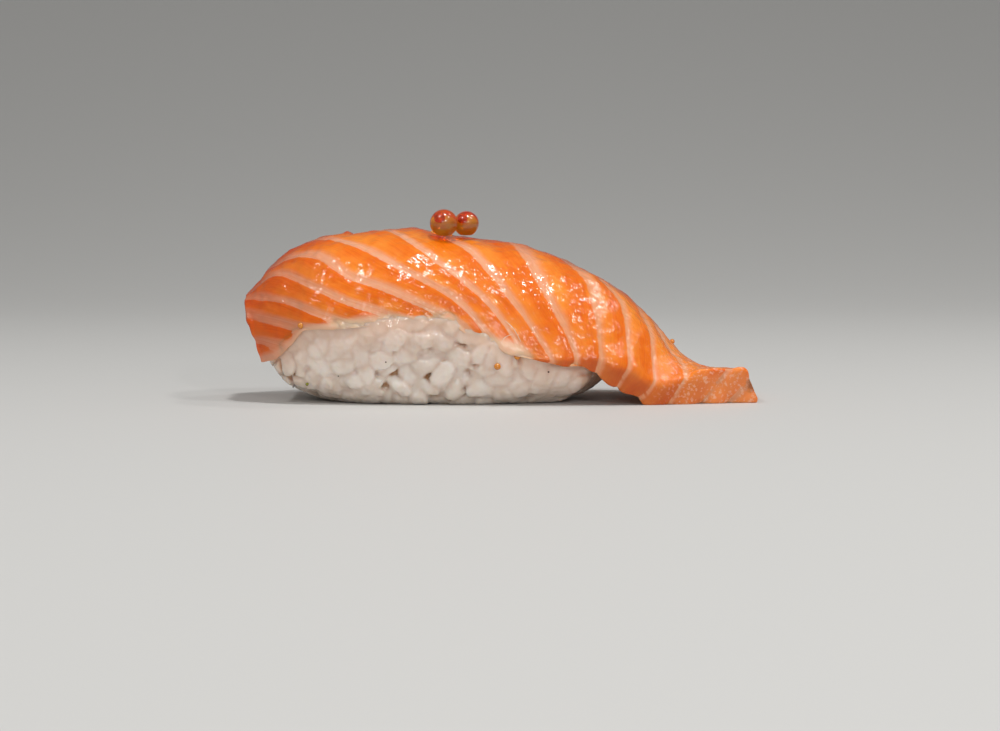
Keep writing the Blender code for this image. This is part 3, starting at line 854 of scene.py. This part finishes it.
def finish_rice(mesh, envelope, grains, material):
    """Names the merged mesh, sets it down, deepens the creases, and writes what the material needs of each point."""
    mesh.name = "rice_grains"
    points = np.empty(len(mesh.vertices) * 3, np.float32)
    mesh.vertices.foreach_get("co", points)
    points = points.reshape(-1, 3)
    normals = np.empty(len(mesh.vertices) * 3, np.float32)
    mesh.vertices.foreach_get("normal", normals)
    normals = normals.reshape(-1, 3)
    owner, margin = nearest_grains(points, *grains)
    crease = np.exp(-((margin / 0.11) ** 2))
    belly = smooth_step(0.05, 0.55, margin)
    near_gap = np.zeros(len(points))
    for x, z, size in FRONT_GAPS:
        near_gap += np.exp(-(((points[:, 0] / MM - x) ** 2 + (points[:, 2] / MM - z) ** 2) / size**2))
    opened = np.clip(near_gap, 0, 1) * np.exp(-((margin / 0.20) ** 2)) * (points[:, 1] < 0)
    away = points - envelope.middle
    edge_gap = envelope.read(envelope.edge_gap, unit(away)) / MM
    relief = -CREASE_DEPTH * crease + 0.03 * MM * ripple(points, 1.1 * MM, 61, waves=30)
    relief = relief * (0.25 + 0.75 * smooth_step(0.0, 2.0, edge_gap)) - GAP_DEPTH * opened
    points = points + normals * relief[:, None]
    points[:, 2] = np.maximum(points[:, 2], 0.0)
    mesh.vertices.foreach_set("co", points.astype(np.float32).ravel())
    tone = np.random.default_rng(62).uniform(0, 1, len(grains[0]))[owner]
    away = points - envelope.middle
    far = np.linalg.norm(away, axis=1)
    direction = away / far[:, None]
    # How far each point lies below the outline, which the material turns into painted tan shade in the gaps.
    sunk = (envelope.radius(direction) - far) / MM
    # Painted shade added to it: a brown shadow spot behind the long grains at the left end, the opened front gaps, and
    # the right end under the slice.
    left_end_shadow = ((points[:, 0] / MM + 35.0) / 1.2) ** 2 + ((points[:, 2] / MM - 5.6) / 2.4) ** 2
    sunk = sunk + (0.5 * np.exp(-left_end_shadow) + 0.4 * opened) * (points[:, 1] < 0)
    sunk = sunk + 1.0 * smooth_step(13.5, 18.5, points[:, 0] / MM)
    edge_gap = envelope.read(envelope.edge_gap, direction) / MM
    blush = np.exp(-np.maximum(edge_gap, 0) / 3.0)
    blush = np.maximum(blush, 0.9 * smooth_step(9.0, 17.5, points[:, 0] / MM))
    blush = np.maximum(blush, 0.6 * smooth_step(30.0, 36.0, -points[:, 0] / MM))
    for key, values in {"sunk": sunk, "blush": blush, "crease": crease, "tone": tone, "belly": belly}.items():
        layer = mesh.attributes.new(key, "FLOAT", "POINT")
        layer.data.foreach_set("value", values.astype(np.float32))
    mesh.materials.clear()
    mesh.materials.append(material)
    mesh.shade_smooth()
    mesh.update()
    piece = bpy.data.objects.new("rice_grains", mesh)
    bpy.context.scene.collection.objects.link(piece)
    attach(piece, "root")
    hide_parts("rice_ball")
    return piece


# ---------------------------------------------------------------- roe


def ball(rings, around):
    """A unit sphere as rings closed by two poles, with its faces."""
    shape, quads, tris = grain_template(rings, around, blunt=1.0)
    return shape, quads.tolist() + tris.tolist()


def plain_piece(name, points, faces, material):
    """Points and mixed faces as a smooth-shaded piece that rides on the frame's one body."""
    mesh = bpy.data.meshes.new(name)
    mesh.from_pydata(points.tolist(), [], faces)
    mesh.shade_smooth()
    mesh.materials.append(material)
    piece = bpy.data.objects.new(name, mesh)
    bpy.context.scene.collection.objects.link(piece)
    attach(piece, "root")
    return piece


def make_ball(name, centre, radius, material, dent=0.0, seed=0):
    """A pearl: a sphere with slow dents, a little flat where it sits."""
    points, faces = ball(30, 44)
    points = points * (1 + dent * ripple(points, 1.6, seed)[:, None])
    flat = -0.90
    points[:, 2] = np.where(points[:, 2] < flat, flat + 0.25 * (points[:, 2] - flat), points[:, 2])
    return plain_piece(name, points * radius + centre, faces, material)


def make_pearls(skin, drop):
    for name, radius in PEARLS:
        low, high = (np.array(corner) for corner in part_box(name))
        centre = (low + high) / 2
        centre[2] -= 0.05 * MM
        pearl = make_ball(name + "_skin", centre, radius, skin, dent=0.006, seed=len(name))
        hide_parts(name)
        make_ball(name + "_oil", centre + radius * np.array((-0.25, -0.2, 0.35)), radius * 0.34, drop)


# ---------------------------------------------------------------- tiny pieces


def surface_tree(pieces):
    """A tree to drop tiny pieces onto, of every point and face of the pieces."""
    parts = []
    for piece in pieces:
        points = np.empty(len(piece.data.vertices) * 3, np.float32)
        piece.data.vertices.foreach_get("co", points)
        piece.data.calc_loop_triangles()
        corners = np.empty(len(piece.data.loop_triangles) * 3, np.int32)
        piece.data.loop_triangles.foreach_get("vertices", corners)
        parts.append((points.reshape(-1, 3), corners.reshape(-1, 3), np.empty((0, 3), int)))
    points, faces = joined(parts)
    return BVHTree.FromPolygons(points.tolist(), faces)


def landed(tree, spots, start, heading):
    """Where rays from the spots' starting places first meet the surface, and the surface's normals there."""
    hits = [tree.ray_cast(Vector(start(*spot)), Vector(heading))[:2] for spot in spots]
    return np.array([hit[0] for hit in hits]), np.array([hit[1] for hit in hits])


def tiny_balls(name, spots, tree, material, from_above=False):
    """Small round pieces that touch the surface: each spot is x and z (or y), a radius and how deep it is pressed in."""
    table = np.array(spots)
    if from_above:
        places, normals = landed(tree, table[:, :2] * MM, lambda x, y: (x, y, 0.05), (0, 0, -1))
    else:
        places, normals = landed(tree, table[:, :2] * MM, lambda x, z: (x, -0.05, z), (0, 1, 0))
    radius, pressed = table[:, 2:3] * MM, table[:, 3:4]
    centres = places + normals * radius * (1 - pressed)
    shape, quads, tris = grain_template(11, 16, blunt=1.0)
    parts = [(shape * r + centre, quads, tris) for r, centre in zip(radius, centres)]
    points, faces = joined(parts)
    return plain_piece(name, points, faces, material)


def film_threads(tree, material):
    """Two thin curved threads of sinew on the front: a round tube along points dropped onto the surface."""
    shape, quads, tris = grain_template(24, 10, blunt=0.25)
    parts = []
    for path in THREADS:
        knots = np.array(path)
        share = np.linspace(0, 1, len(knots))
        run = (shape[:, 0] + 1) / 2
        spots = np.column_stack([smooth_through(share, column, run) for column in knots.T]) * MM
        places, normals = landed(tree, spots, lambda x, z: (x, -0.05, z), (0, 1, 0))
        along = unit(np.array((knots[-1][0] - knots[0][0], 0.0, knots[-1][1] - knots[0][1])))
        across = np.cross(along, normals)
        parts.append((places + THREAD_RADIUS * (normals * (shape[:, 1:2] - 0.45) + across * shape[:, 2:3]), quads, tris))
    points, faces = joined(parts)
    return plain_piece("film_threads", points, faces, material)


# ---------------------------------------------------------------- materials


def linear(hex_colour):
    """An sRGB hex value as linear red, green, blue and alpha."""
    parts = [int(hex_colour[i : i + 2], 16) / 255 for i in (1, 3, 5)]
    return (*(c / 12.92 if c <= 0.04045 else ((c + 0.055) / 1.055) ** 2.4 for c in parts), 1.0)


def new_material(name):
    material = bpy.data.materials.new(name)
    material.use_nodes = True
    tree = material.node_tree
    return material, tree, tree.nodes["Principled BSDF"]


def node(tree, kind, inputs=None, **settings):
    """Adds a node, sets its properties, and gives each named input a value or a link."""
    made = tree.nodes.new(kind)
    for key, value in settings.items():
        setattr(made, key, value)
    for key, value in (inputs or {}).items():
        if isinstance(value, bpy.types.NodeSocket):
            tree.links.new(value, made.inputs[key])
        else:
            made.inputs[key].default_value = value
    return made


def raw_salmon():
    """Raw farmed salmon, sliced with a knife: orange muscle in blocks between soft lines of pale fat.

    A thin film of oil and water over fine fibres gives the eye a scatter of small bright glints; painted shade darkens
    the cut face and the left end, and pale painted glints fleck the tail.
    """
    material, tree, shader = new_material("raw_salmon_sliced")
    place = node(tree, "ShaderNodeTexCoord").outputs["Object"]
    fibre = node(tree, "ShaderNodeUVMap", uv_map="fibre").outputs["UV"]
    reach, side, film, cut, ridge = (
        node(tree, "ShaderNodeAttribute", attribute_name=name).outputs["Fac"]
        for name in ("fat_reach", "fat_side", "film", "cut_side", "ridge")
    )
    blotch = node(tree, "ShaderNodeTexNoise", {"Vector": place, "Scale": 240.0, "Detail": 3.0}).outputs["Fac"]
    fuzz = node(tree, "ShaderNodeTexNoise", {"Vector": place, "Scale": 1500.0, "Detail": 3.0}).outputs["Fac"]
    stretched = node(tree, "ShaderNodeMapping", {"Vector": fibre, "Scale": (2.6, 0.28, 1.0)}).outputs["Vector"]
    streak = node(tree, "ShaderNodeTexNoise", {"Vector": stretched, "Scale": 1.0, "Detail": 5.0}).outputs["Fac"]
    wander = node(tree, "ShaderNodeMath", {0: blotch, 1: 0.7, 2: -0.35}, operation="MULTIPLY_ADD").outputs[0]
    ragged = node(tree, "ShaderNodeMath", {0: fuzz, 1: 0.35, 2: -0.17}, operation="MULTIPLY_ADD").outputs[0]
    edge = node(tree, "ShaderNodeMath", {0: reach, 1: wander}, operation="ADD").outputs[0]
    edge = node(tree, "ShaderNodeMath", {0: edge, 1: ragged}, operation="ADD").outputs[0]
    inner = node(tree, "ShaderNodeMath", {0: side, 1: -0.24, 2: 0.48}, operation="MULTIPLY_ADD").outputs[0]
    outer = node(tree, "ShaderNodeMath", {0: side, 1: 0.48, 2: 1.32}, operation="MULTIPLY_ADD").outputs[0]
    fat = node(
        tree,
        "ShaderNodeMapRange",
        {"Value": edge, "From Min": inner, "From Max": outer, "To Min": 1.0, "To Max": 0.0},
        interpolation_type="SMOOTHSTEP",
    ).outputs["Result"]
    grain = node(tree, "ShaderNodeMapRange", {"Value": streak, "From Min": 0.3, "From Max": 0.7}).outputs["Result"]
    tone = node(
        tree, "ShaderNodeMapRange", {"Value": blotch, "From Min": 0.35, "From Max": 0.7, "To Max": 0.5}
    ).outputs["Result"]
    tone = node(tree, "ShaderNodeMath", {0: side, 1: 0.22, 2: tone}, operation="MULTIPLY_ADD", use_clamp=True).outputs[0]
    muscle = node(
        tree, "ShaderNodeMix", {"Factor": grain, "A": linear("#DE6200"), "B": linear("#EA7406")}, data_type="RGBA"
    ).outputs["Result"]
    muscle = node(
        tree, "ShaderNodeMix", {"Factor": tone, "A": muscle, "B": linear("#F79A34")}, data_type="RGBA"
    ).outputs["Result"]
    along = node(tree, "ShaderNodeSeparateXYZ", {"Vector": place}).outputs["X"]
    to_tail = node(
        tree, "ShaderNodeMapRange", {"Value": along, "From Min": 0.026, "From Max": 0.034}
    ).outputs["Result"]
    # Painted shade on the cut face at the right: darkened to a deep red-orange, turning to a pale peach painted sheen
    # of wet glints towards the tail.
    cut_face_shade_sheen = node(
        tree, "ShaderNodeMix", {"Factor": to_tail, "A": linear("#A83804"), "B": linear("#F09458")}, data_type="RGBA"
    ).outputs["Result"]
    shade = node(tree, "ShaderNodeMath", {0: cut, 1: 0.50}, operation="MULTIPLY").outputs[0]
    muscle = node(
        tree, "ShaderNodeMix", {"Factor": shade, "A": muscle, "B": cut_face_shade_sheen}, data_type="RGBA"
    ).outputs["Result"]
    pale = node(
        tree, "ShaderNodeMix", {"Factor": grain, "A": linear("#E2966A"), "B": linear("#E9AA86")}, data_type="RGBA"
    ).outputs["Result"]
    to_right = node(
        tree, "ShaderNodeMapRange", {"Value": along, "From Min": -0.008, "From Max": 0.018, "To Max": 0.45}
    ).outputs["Result"]
    pale = node(
        tree, "ShaderNodeMix", {"Factor": to_right, "A": pale, "B": linear("#DC8A52")}, data_type="RGBA"
    ).outputs["Result"]
    colour = node(tree, "ShaderNodeMix", {"Factor": fat, "A": muscle, "B": pale}, data_type="RGBA").outputs["Result"]
    colour = node(
        tree, "ShaderNodeMix", {"Factor": film, "A": colour, "B": linear("#EDBD9C")}, data_type="RGBA"
    ).outputs["Result"]
    # Painted shade: the left end, which turns away from the light, is darkened, and the colour is also darker along the
    # ridge.
    left_shade_ridge_dark = node(
        tree, "ShaderNodeMapRange", {"Value": along, "From Min": -0.040, "From Max": -0.025, "To Min": 0.70, "To Max": 0.0}
    ).outputs["Result"]
    left_shade_ridge_dark = node(tree, "ShaderNodeMath", {0: ridge, 1: 0.80, 2: left_shade_ridge_dark}, operation="MULTIPLY_ADD", use_clamp=True).outputs[0]
    colour = node(
        tree,
        "ShaderNodeMix",
        {"Factor": left_shade_ridge_dark, "A": colour, "B": linear("#C87C58")},
        data_type="RGBA",
        blend_type="MULTIPLY",
    ).outputs["Result"]
    # Painted highlights: pale flecks over the tail stand in for its wet glints.
    glint_speck_noise = node(tree, "ShaderNodeTexNoise", {"Vector": place, "Scale": 1900.0, "Detail": 2.0}).outputs["Fac"]
    painted_glints = node(tree, "ShaderNodeMapRange", {"Value": glint_speck_noise, "From Min": 0.54, "From Max": 0.66}).outputs["Result"]
    at_tail = node(
        tree, "ShaderNodeMapRange", {"Value": along, "From Min": 0.023, "From Max": 0.031, "To Max": 0.42}
    ).outputs["Result"]
    painted_glints = node(tree, "ShaderNodeMath", {0: painted_glints, 1: at_tail}, operation="MULTIPLY").outputs[0]
    colour = node(
        tree, "ShaderNodeMix", {"Factor": painted_glints, "A": colour, "B": linear("#F8D2BA")}, data_type="RGBA"
    ).outputs["Result"]
    flat = node(tree, "ShaderNodeVectorMath", {0: place, 1: (1.0, 0.0, 1.0)}, operation="MULTIPLY").outputs[0]
    away = node(tree, "ShaderNodeVectorMath", {0: flat, 1: (0.0406, 0.0, 0.0028)}, operation="DISTANCE").outputs["Value"]
    away = node(tree, "ShaderNodeMath", {0: fuzz, 1: 0.0012, 2: away}, operation="MULTIPLY_ADD").outputs[0]
    bloodline = node(
        tree, "ShaderNodeMapRange", {"Value": away, "From Min": 0.0010, "From Max": 0.0020, "To Min": 0.7, "To Max": 0.0}
    ).outputs["Result"]
    colour = node(
        tree, "ShaderNodeMix", {"Factor": bloodline, "A": colour, "B": linear("#8A4A22")}, data_type="RGBA"
    ).outputs["Result"]
    tree.links.new(colour, shader.inputs["Base Color"])
    shader.inputs["Roughness"].default_value = 0.6
    shader.inputs["Specular IOR Level"].default_value = 0.05
    shader.inputs["Subsurface Weight"].default_value = 0.45
    shader.inputs["Subsurface Radius"].default_value = (1.0, 0.45, 0.25)
    shader.inputs["Subsurface Scale"].default_value = 0.0007
    shader.inputs["Coat Weight"].default_value = 1.0
    shader.inputs["Coat Roughness"].default_value = 0.14
    shader.inputs["Coat IOR"].default_value = 1.45
    wet = node(tree, "ShaderNodeTexNoise", {"Vector": place, "Scale": 1400.0, "Detail": 2.0, "Roughness": 0.5})
    strands = node(tree, "ShaderNodeMapping", {"Vector": fibre, "Scale": (2.4, 0.9, 1.0)}).outputs["Vector"]
    strand = node(tree, "ShaderNodeTexNoise", {"Vector": strands, "Scale": 1.0, "Detail": 1.0})
    height = node(tree, "ShaderNodeMath", {0: wet.outputs["Fac"], 1: strand.outputs["Fac"]}, operation="ADD")
    rougher = node(
        tree, "ShaderNodeMapRange", {"Value": along, "From Min": 0.016, "From Max": 0.027, "To Min": 1.0, "To Max": 1.8}
    ).outputs["Result"]
    height = node(tree, "ShaderNodeMath", {0: height.outputs[0], 1: rougher}, operation="MULTIPLY")
    bump = node(
        tree, "ShaderNodeBump", {"Height": height.outputs[0], "Strength": 1.0, "Distance": 0.000068}
    ).outputs["Normal"]
    tree.links.new(bump, shader.inputs["Coat Normal"])
    soft = node(
        tree, "ShaderNodeBump", {"Height": height.outputs[0], "Strength": 0.4, "Distance": 0.00005}
    ).outputs["Normal"]
    tree.links.new(soft, shader.inputs["Normal"])
    return material


def cooked_rice():
    """Cooked short-grain rice, seasoned with vinegar: milky white, sticky and a little see-through.

    Wet starch gives the eye pin-sharp glints; the creases and gaps between grains get a painted tan shade, and the foot
    a painted greyer shade.
    """
    material, tree, shader = new_material("cooked_rice_pressed")
    place = node(tree, "ShaderNodeTexCoord").outputs["Object"]
    sunk, blush, crease, tone, belly = (
        node(tree, "ShaderNodeAttribute", attribute_name=name).outputs["Fac"]
        for name in ("sunk", "blush", "crease", "tone", "belly")
    )
    cloud = node(tree, "ShaderNodeTexNoise", {"Vector": place, "Scale": 400.0, "Detail": 4.0}).outputs["Fac"]
    milky = node(tree, "ShaderNodeMath", {0: cloud, 1: 1.6, 2: -0.55}, operation="MULTIPLY_ADD").outputs[0]
    milky = node(tree, "ShaderNodeMath", {0: tone, 1: 0.4, 2: milky}, operation="MULTIPLY_ADD").outputs[0]
    milky = node(tree, "ShaderNodeMath", {0: belly, 1: 0.5, 2: milky}, operation="MULTIPLY_ADD").outputs[0]
    milky = node(tree, "ShaderNodeMath", {0: milky, 1: -0.25}, operation="ADD", use_clamp=True)
    colour = node(
        tree,
        "ShaderNodeMix",
        {"Factor": milky.outputs[0], "A": linear("#DDCCBE"), "B": linear("#F2E9E0")},
        data_type="RGBA",
    ).outputs["Result"]
    # Painted shade: the creases between grains are tinted tan.
    crease_shade = node(tree, "ShaderNodeMath", {0: crease, 1: 0.12}, operation="MULTIPLY").outputs[0]
    colour = node(
        tree, "ShaderNodeMix", {"Factor": crease_shade, "A": colour, "B": linear("#D8B493")}, data_type="RGBA"
    ).outputs["Result"]
    # Painted shade: points sunk deep below the outline, in the gaps, at the rice's left end and at its right end under
    # the slice, are tinted brown.
    gap = node(
        tree, "ShaderNodeMapRange", {"Value": sunk, "From Min": 0.45, "From Max": 1.3}, interpolation_type="SMOOTHSTEP"
    ).outputs["Result"]
    colour = node(
        tree, "ShaderNodeMix", {"Factor": gap, "A": colour, "B": linear("#B07C4C")}, data_type="RGBA"
    ).outputs["Result"]
    # Painted shade near the board: towards the foot the rice is darker and greyer, which is partly the grey of wet rice
    # there.
    height = node(tree, "ShaderNodeSeparateXYZ", {"Vector": place}).outputs["Z"]
    foot_shade_and_wet_grey = node(
        tree, "ShaderNodeMapRange", {"Value": height, "From Min": 0.0003, "From Max": 0.0036, "To Min": 0.55, "To Max": 0.0}
    ).outputs["Result"]
    colour = node(
        tree, "ShaderNodeMix", {"Factor": foot_shade_and_wet_grey, "A": colour, "B": linear("#B8A492")}, data_type="RGBA"
    ).outputs["Result"]
    pink = node(tree, "ShaderNodeMath", {0: blush, 1: 0.8}, operation="MULTIPLY").outputs[0]
    colour = node(
        tree, "ShaderNodeMix", {"Factor": pink, "A": colour, "B": linear("#DFB498")}, data_type="RGBA"
    ).outputs["Result"]
    tree.links.new(colour, shader.inputs["Base Color"])
    shader.inputs["Roughness"].default_value = 0.45
    shader.inputs["Specular IOR Level"].default_value = 0.3
    shader.inputs["Subsurface Weight"].default_value = 0.7
    shader.inputs["Subsurface Radius"].default_value = (1.0, 0.72, 0.5)
    shader.inputs["Subsurface Scale"].default_value = 0.0026
    shader.inputs["Coat Weight"].default_value = 1.0
    shader.inputs["Coat Roughness"].default_value = 0.12
    shader.inputs["Coat IOR"].default_value = 1.45
    skin = node(tree, "ShaderNodeTexNoise", {"Vector": place, "Scale": 1100.0, "Detail": 2.0}).outputs["Fac"]
    bump = node(tree, "ShaderNodeBump", {"Height": skin, "Strength": 1.0, "Distance": 0.00014}).outputs["Normal"]
    tree.links.new(bump, shader.inputs["Coat Normal"])
    soft = node(tree, "ShaderNodeBump", {"Height": skin, "Strength": 0.4, "Distance": 0.00008}).outputs["Normal"]
    tree.links.new(soft, shader.inputs["Normal"])
    return material


def clear_roe():
    """Cured salmon roe: a thin clear skin over orange jelly, so it looks like a drop of coloured glass."""
    material, tree, shader = new_material("salmon_roe_skin")
    place = node(tree, "ShaderNodeTexCoord").outputs["Object"]
    cloud = node(tree, "ShaderNodeTexNoise", {"Vector": place, "Scale": 450.0, "Detail": 3.0}).outputs["Fac"]
    patch = node(tree, "ShaderNodeMapRange", {"Value": cloud, "From Min": 0.42, "From Max": 0.60}).outputs["Result"]
    colour = node(
        tree, "ShaderNodeMix", {"Factor": patch, "A": linear("#FFA22A"), "B": linear("#F56C0C")}, data_type="RGBA"
    ).outputs["Result"]
    tree.links.new(colour, shader.inputs["Base Color"])
    shader.inputs["Roughness"].default_value = 0.05
    shader.inputs["IOR"].default_value = 1.36
    shader.inputs["Transmission Weight"].default_value = 0.92
    shader.inputs["Subsurface Weight"].default_value = 0.5
    shader.inputs["Subsurface Radius"].default_value = (1.0, 0.4, 0.1)
    shader.inputs["Subsurface Scale"].default_value = 0.002
    shader.inputs["Coat Weight"].default_value = 0.8
    shader.inputs["Coat Roughness"].default_value = 0.15
    return material


def roe_oil():
    """The oil drop inside a pearl of roe: a deep red bead."""
    material, tree, shader = new_material("roe_oil_drop")
    place = node(tree, "ShaderNodeTexCoord").outputs["Object"]
    cloud = node(tree, "ShaderNodeTexNoise", {"Vector": place, "Scale": 1500.0}).outputs["Fac"]
    colour = node(
        tree, "ShaderNodeMix", {"Factor": cloud, "A": linear("#E03804"), "B": linear("#FA6C10")}, data_type="RGBA"
    ).outputs["Result"]
    tree.links.new(colour, shader.inputs["Base Color"])
    shader.inputs["Roughness"].default_value = 0.3
    shader.inputs["Transmission Weight"].default_value = 0.3
    return material


def small_coating(name, base, shift, scale):
    """A small wet thing in one colour with soft clouds, half see-through."""
    material, tree, shader = new_material(name)
    place = node(tree, "ShaderNodeTexCoord").outputs["Object"]
    cloud = node(tree, "ShaderNodeTexNoise", {"Vector": place, "Scale": scale, "Detail": 2.0}).outputs["Fac"]
    colour = node(
        tree, "ShaderNodeMix", {"Factor": cloud, "A": linear(base), "B": linear(shift)}, data_type="RGBA"
    ).outputs["Result"]
    tree.links.new(colour, shader.inputs["Base Color"])
    shader.inputs["Roughness"].default_value = 0.25
    shader.inputs["Subsurface Weight"].default_value = 0.4
    shader.inputs["Subsurface Radius"].default_value = (1.0, 0.5, 0.2)
    shader.inputs["Subsurface Scale"].default_value = 0.0004
    shader.inputs["Coat Weight"].default_value = 1.0
    shader.inputs["Coat Roughness"].default_value = 0.18
    return material


def plain_floor():
    material, tree, shader = new_material("pale_board")
    shader.inputs["Base Color"].default_value = linear("#C6C5C2")
    shader.inputs["Roughness"].default_value = 0.6
    return material


# ---------------------------------------------------------------- stage


def make_stage():
    """A floor that curves up into a backdrop: a quarter circle between two flats, carried sideways."""
    bend, start = 1.2, 0.25
    angle = np.linspace(0, math.pi / 2, 40)
    profile = [(-2.5, 0.0)]
    profile += [(start + bend * math.sin(a), bend * (1 - math.cos(a))) for a in angle]
    profile += [(start + bend, 3.0)]
    profile = np.array(profile) - (0.0, 0.02 * MM)
    x = np.array((-3.0, 3.0))
    points = np.array([(side, y, z) for y, z in profile for side in x])
    mesh = bpy.data.meshes.new("stage_floor")
    mesh.from_pydata(points.tolist(), [], grid_faces(len(profile), 2).tolist())
    mesh.shade_smooth()
    mesh.materials.append(plain_floor())
    floor = bpy.data.objects.new("stage_floor", mesh)
    bpy.context.scene.collection.objects.link(floor)


def area_light(name, place, aim, size, power, colour=(1.0, 1.0, 1.0)):
    light = bpy.data.lights.new(name, "AREA")
    light.shape = "RECTANGLE"
    light.size, light.size_y = size
    light.energy = power
    light.color = colour
    lamp = bpy.data.objects.new(name, light)
    bpy.context.scene.collection.objects.link(lamp)
    lamp.location = place
    lamp.rotation_euler = (Vector(aim) - Vector(place)).to_track_quat("-Z", "Y").to_euler()
    return lamp


def make_lights():
    middle = (0.0, 0.0, 0.012)
    for name, place, size, power in (
        ("key_lamp", (0.07, -0.12, 0.60), 0.060, 1.6),
        ("lamp_left", (-0.30, -0.18, 0.50), 0.045, 0.72),
        ("lamp_right", (0.32, -0.18, 0.47), 0.045, 0.5),
        ("lamp_front", (-0.10, -0.56, 0.19), 0.045, 0.28),
        ("lamp_front_right", (0.17, -0.54, 0.23), 0.045, 0.45),
        ("lamp_tail", (0.28, 0.13, 0.50), 0.045, 0.35),
        ("front_fill", (0.35, -0.80, 0.25), 0.800, 0.5),
    ):
        area_light(name, place, middle, (size, size), power)
    world = bpy.data.worlds.new("studio")
    bpy.context.scene.world = world
    world.use_nodes = True
    background = world.node_tree.nodes["Background"]
    background.inputs["Color"].default_value = (1.0, 1.0, 1.0, 1.0)
    background.inputs["Strength"].default_value = 0.29


def make_camera():
    """A long lens just above the board, looking at the front."""
    aim = Vector((0.0, 0.0, 0.00536))
    distance, climb = 0.455, math.radians(4.4)
    camera = bpy.data.cameras.new("front_camera")
    camera.lens, camera.sensor_width = 100.0, 36.0
    camera.clip_start = 0.01
    holder = bpy.data.objects.new("front_camera", camera)
    bpy.context.scene.collection.objects.link(holder)
    holder.location = aim + distance * Vector((0.0, -math.cos(climb), math.sin(climb)))
    holder.rotation_euler = (aim - holder.location).to_track_quat("-Z", "Y").to_euler()
    bpy.context.scene.camera = holder


def main():
    make_camera()
    make_stage()
    make_lights()
    bpy.context.scene.view_settings.view_transform = "Standard"
    slice_piece, shift = make_slice(raw_salmon())
    rice_piece = make_rice(slice_piece, cooked_rice())
    make_pearls(clear_roe(), roe_oil())
    tree = surface_tree([slice_piece, rice_piece])
    tiny = small_coating("tiny_roe_jelly", "#C87000", "#DE9206", 1500.0)
    tiny_balls("roe_tiny_front", TINY_ROE, tree, tiny)
    tiny_balls("roe_tiny_behind", TINY_ROE_BEHIND, tree, tiny, from_above=True)
    oil = small_coating("roe_oil_spilt", "#FFB634", "#FFD060", 1500.0)
    tiny_balls("roe_oil_beads", OIL_BEADS, tree, oil, from_above=True)
    tiny_balls("specks_dark", DARK_SPECKS, tree, small_coating("bran_specks", "#3A2412", "#6A3A1C", 2500.0))
    tiny_balls("specks_green", GREEN_SPECKS, tree, small_coating("green_specks", "#6E7A12", "#8E8A1E", 2500.0))
    film_threads(tree, small_coating("sinew_threads", "#E9AE8A", "#F0C4A8", 2500.0))


main()
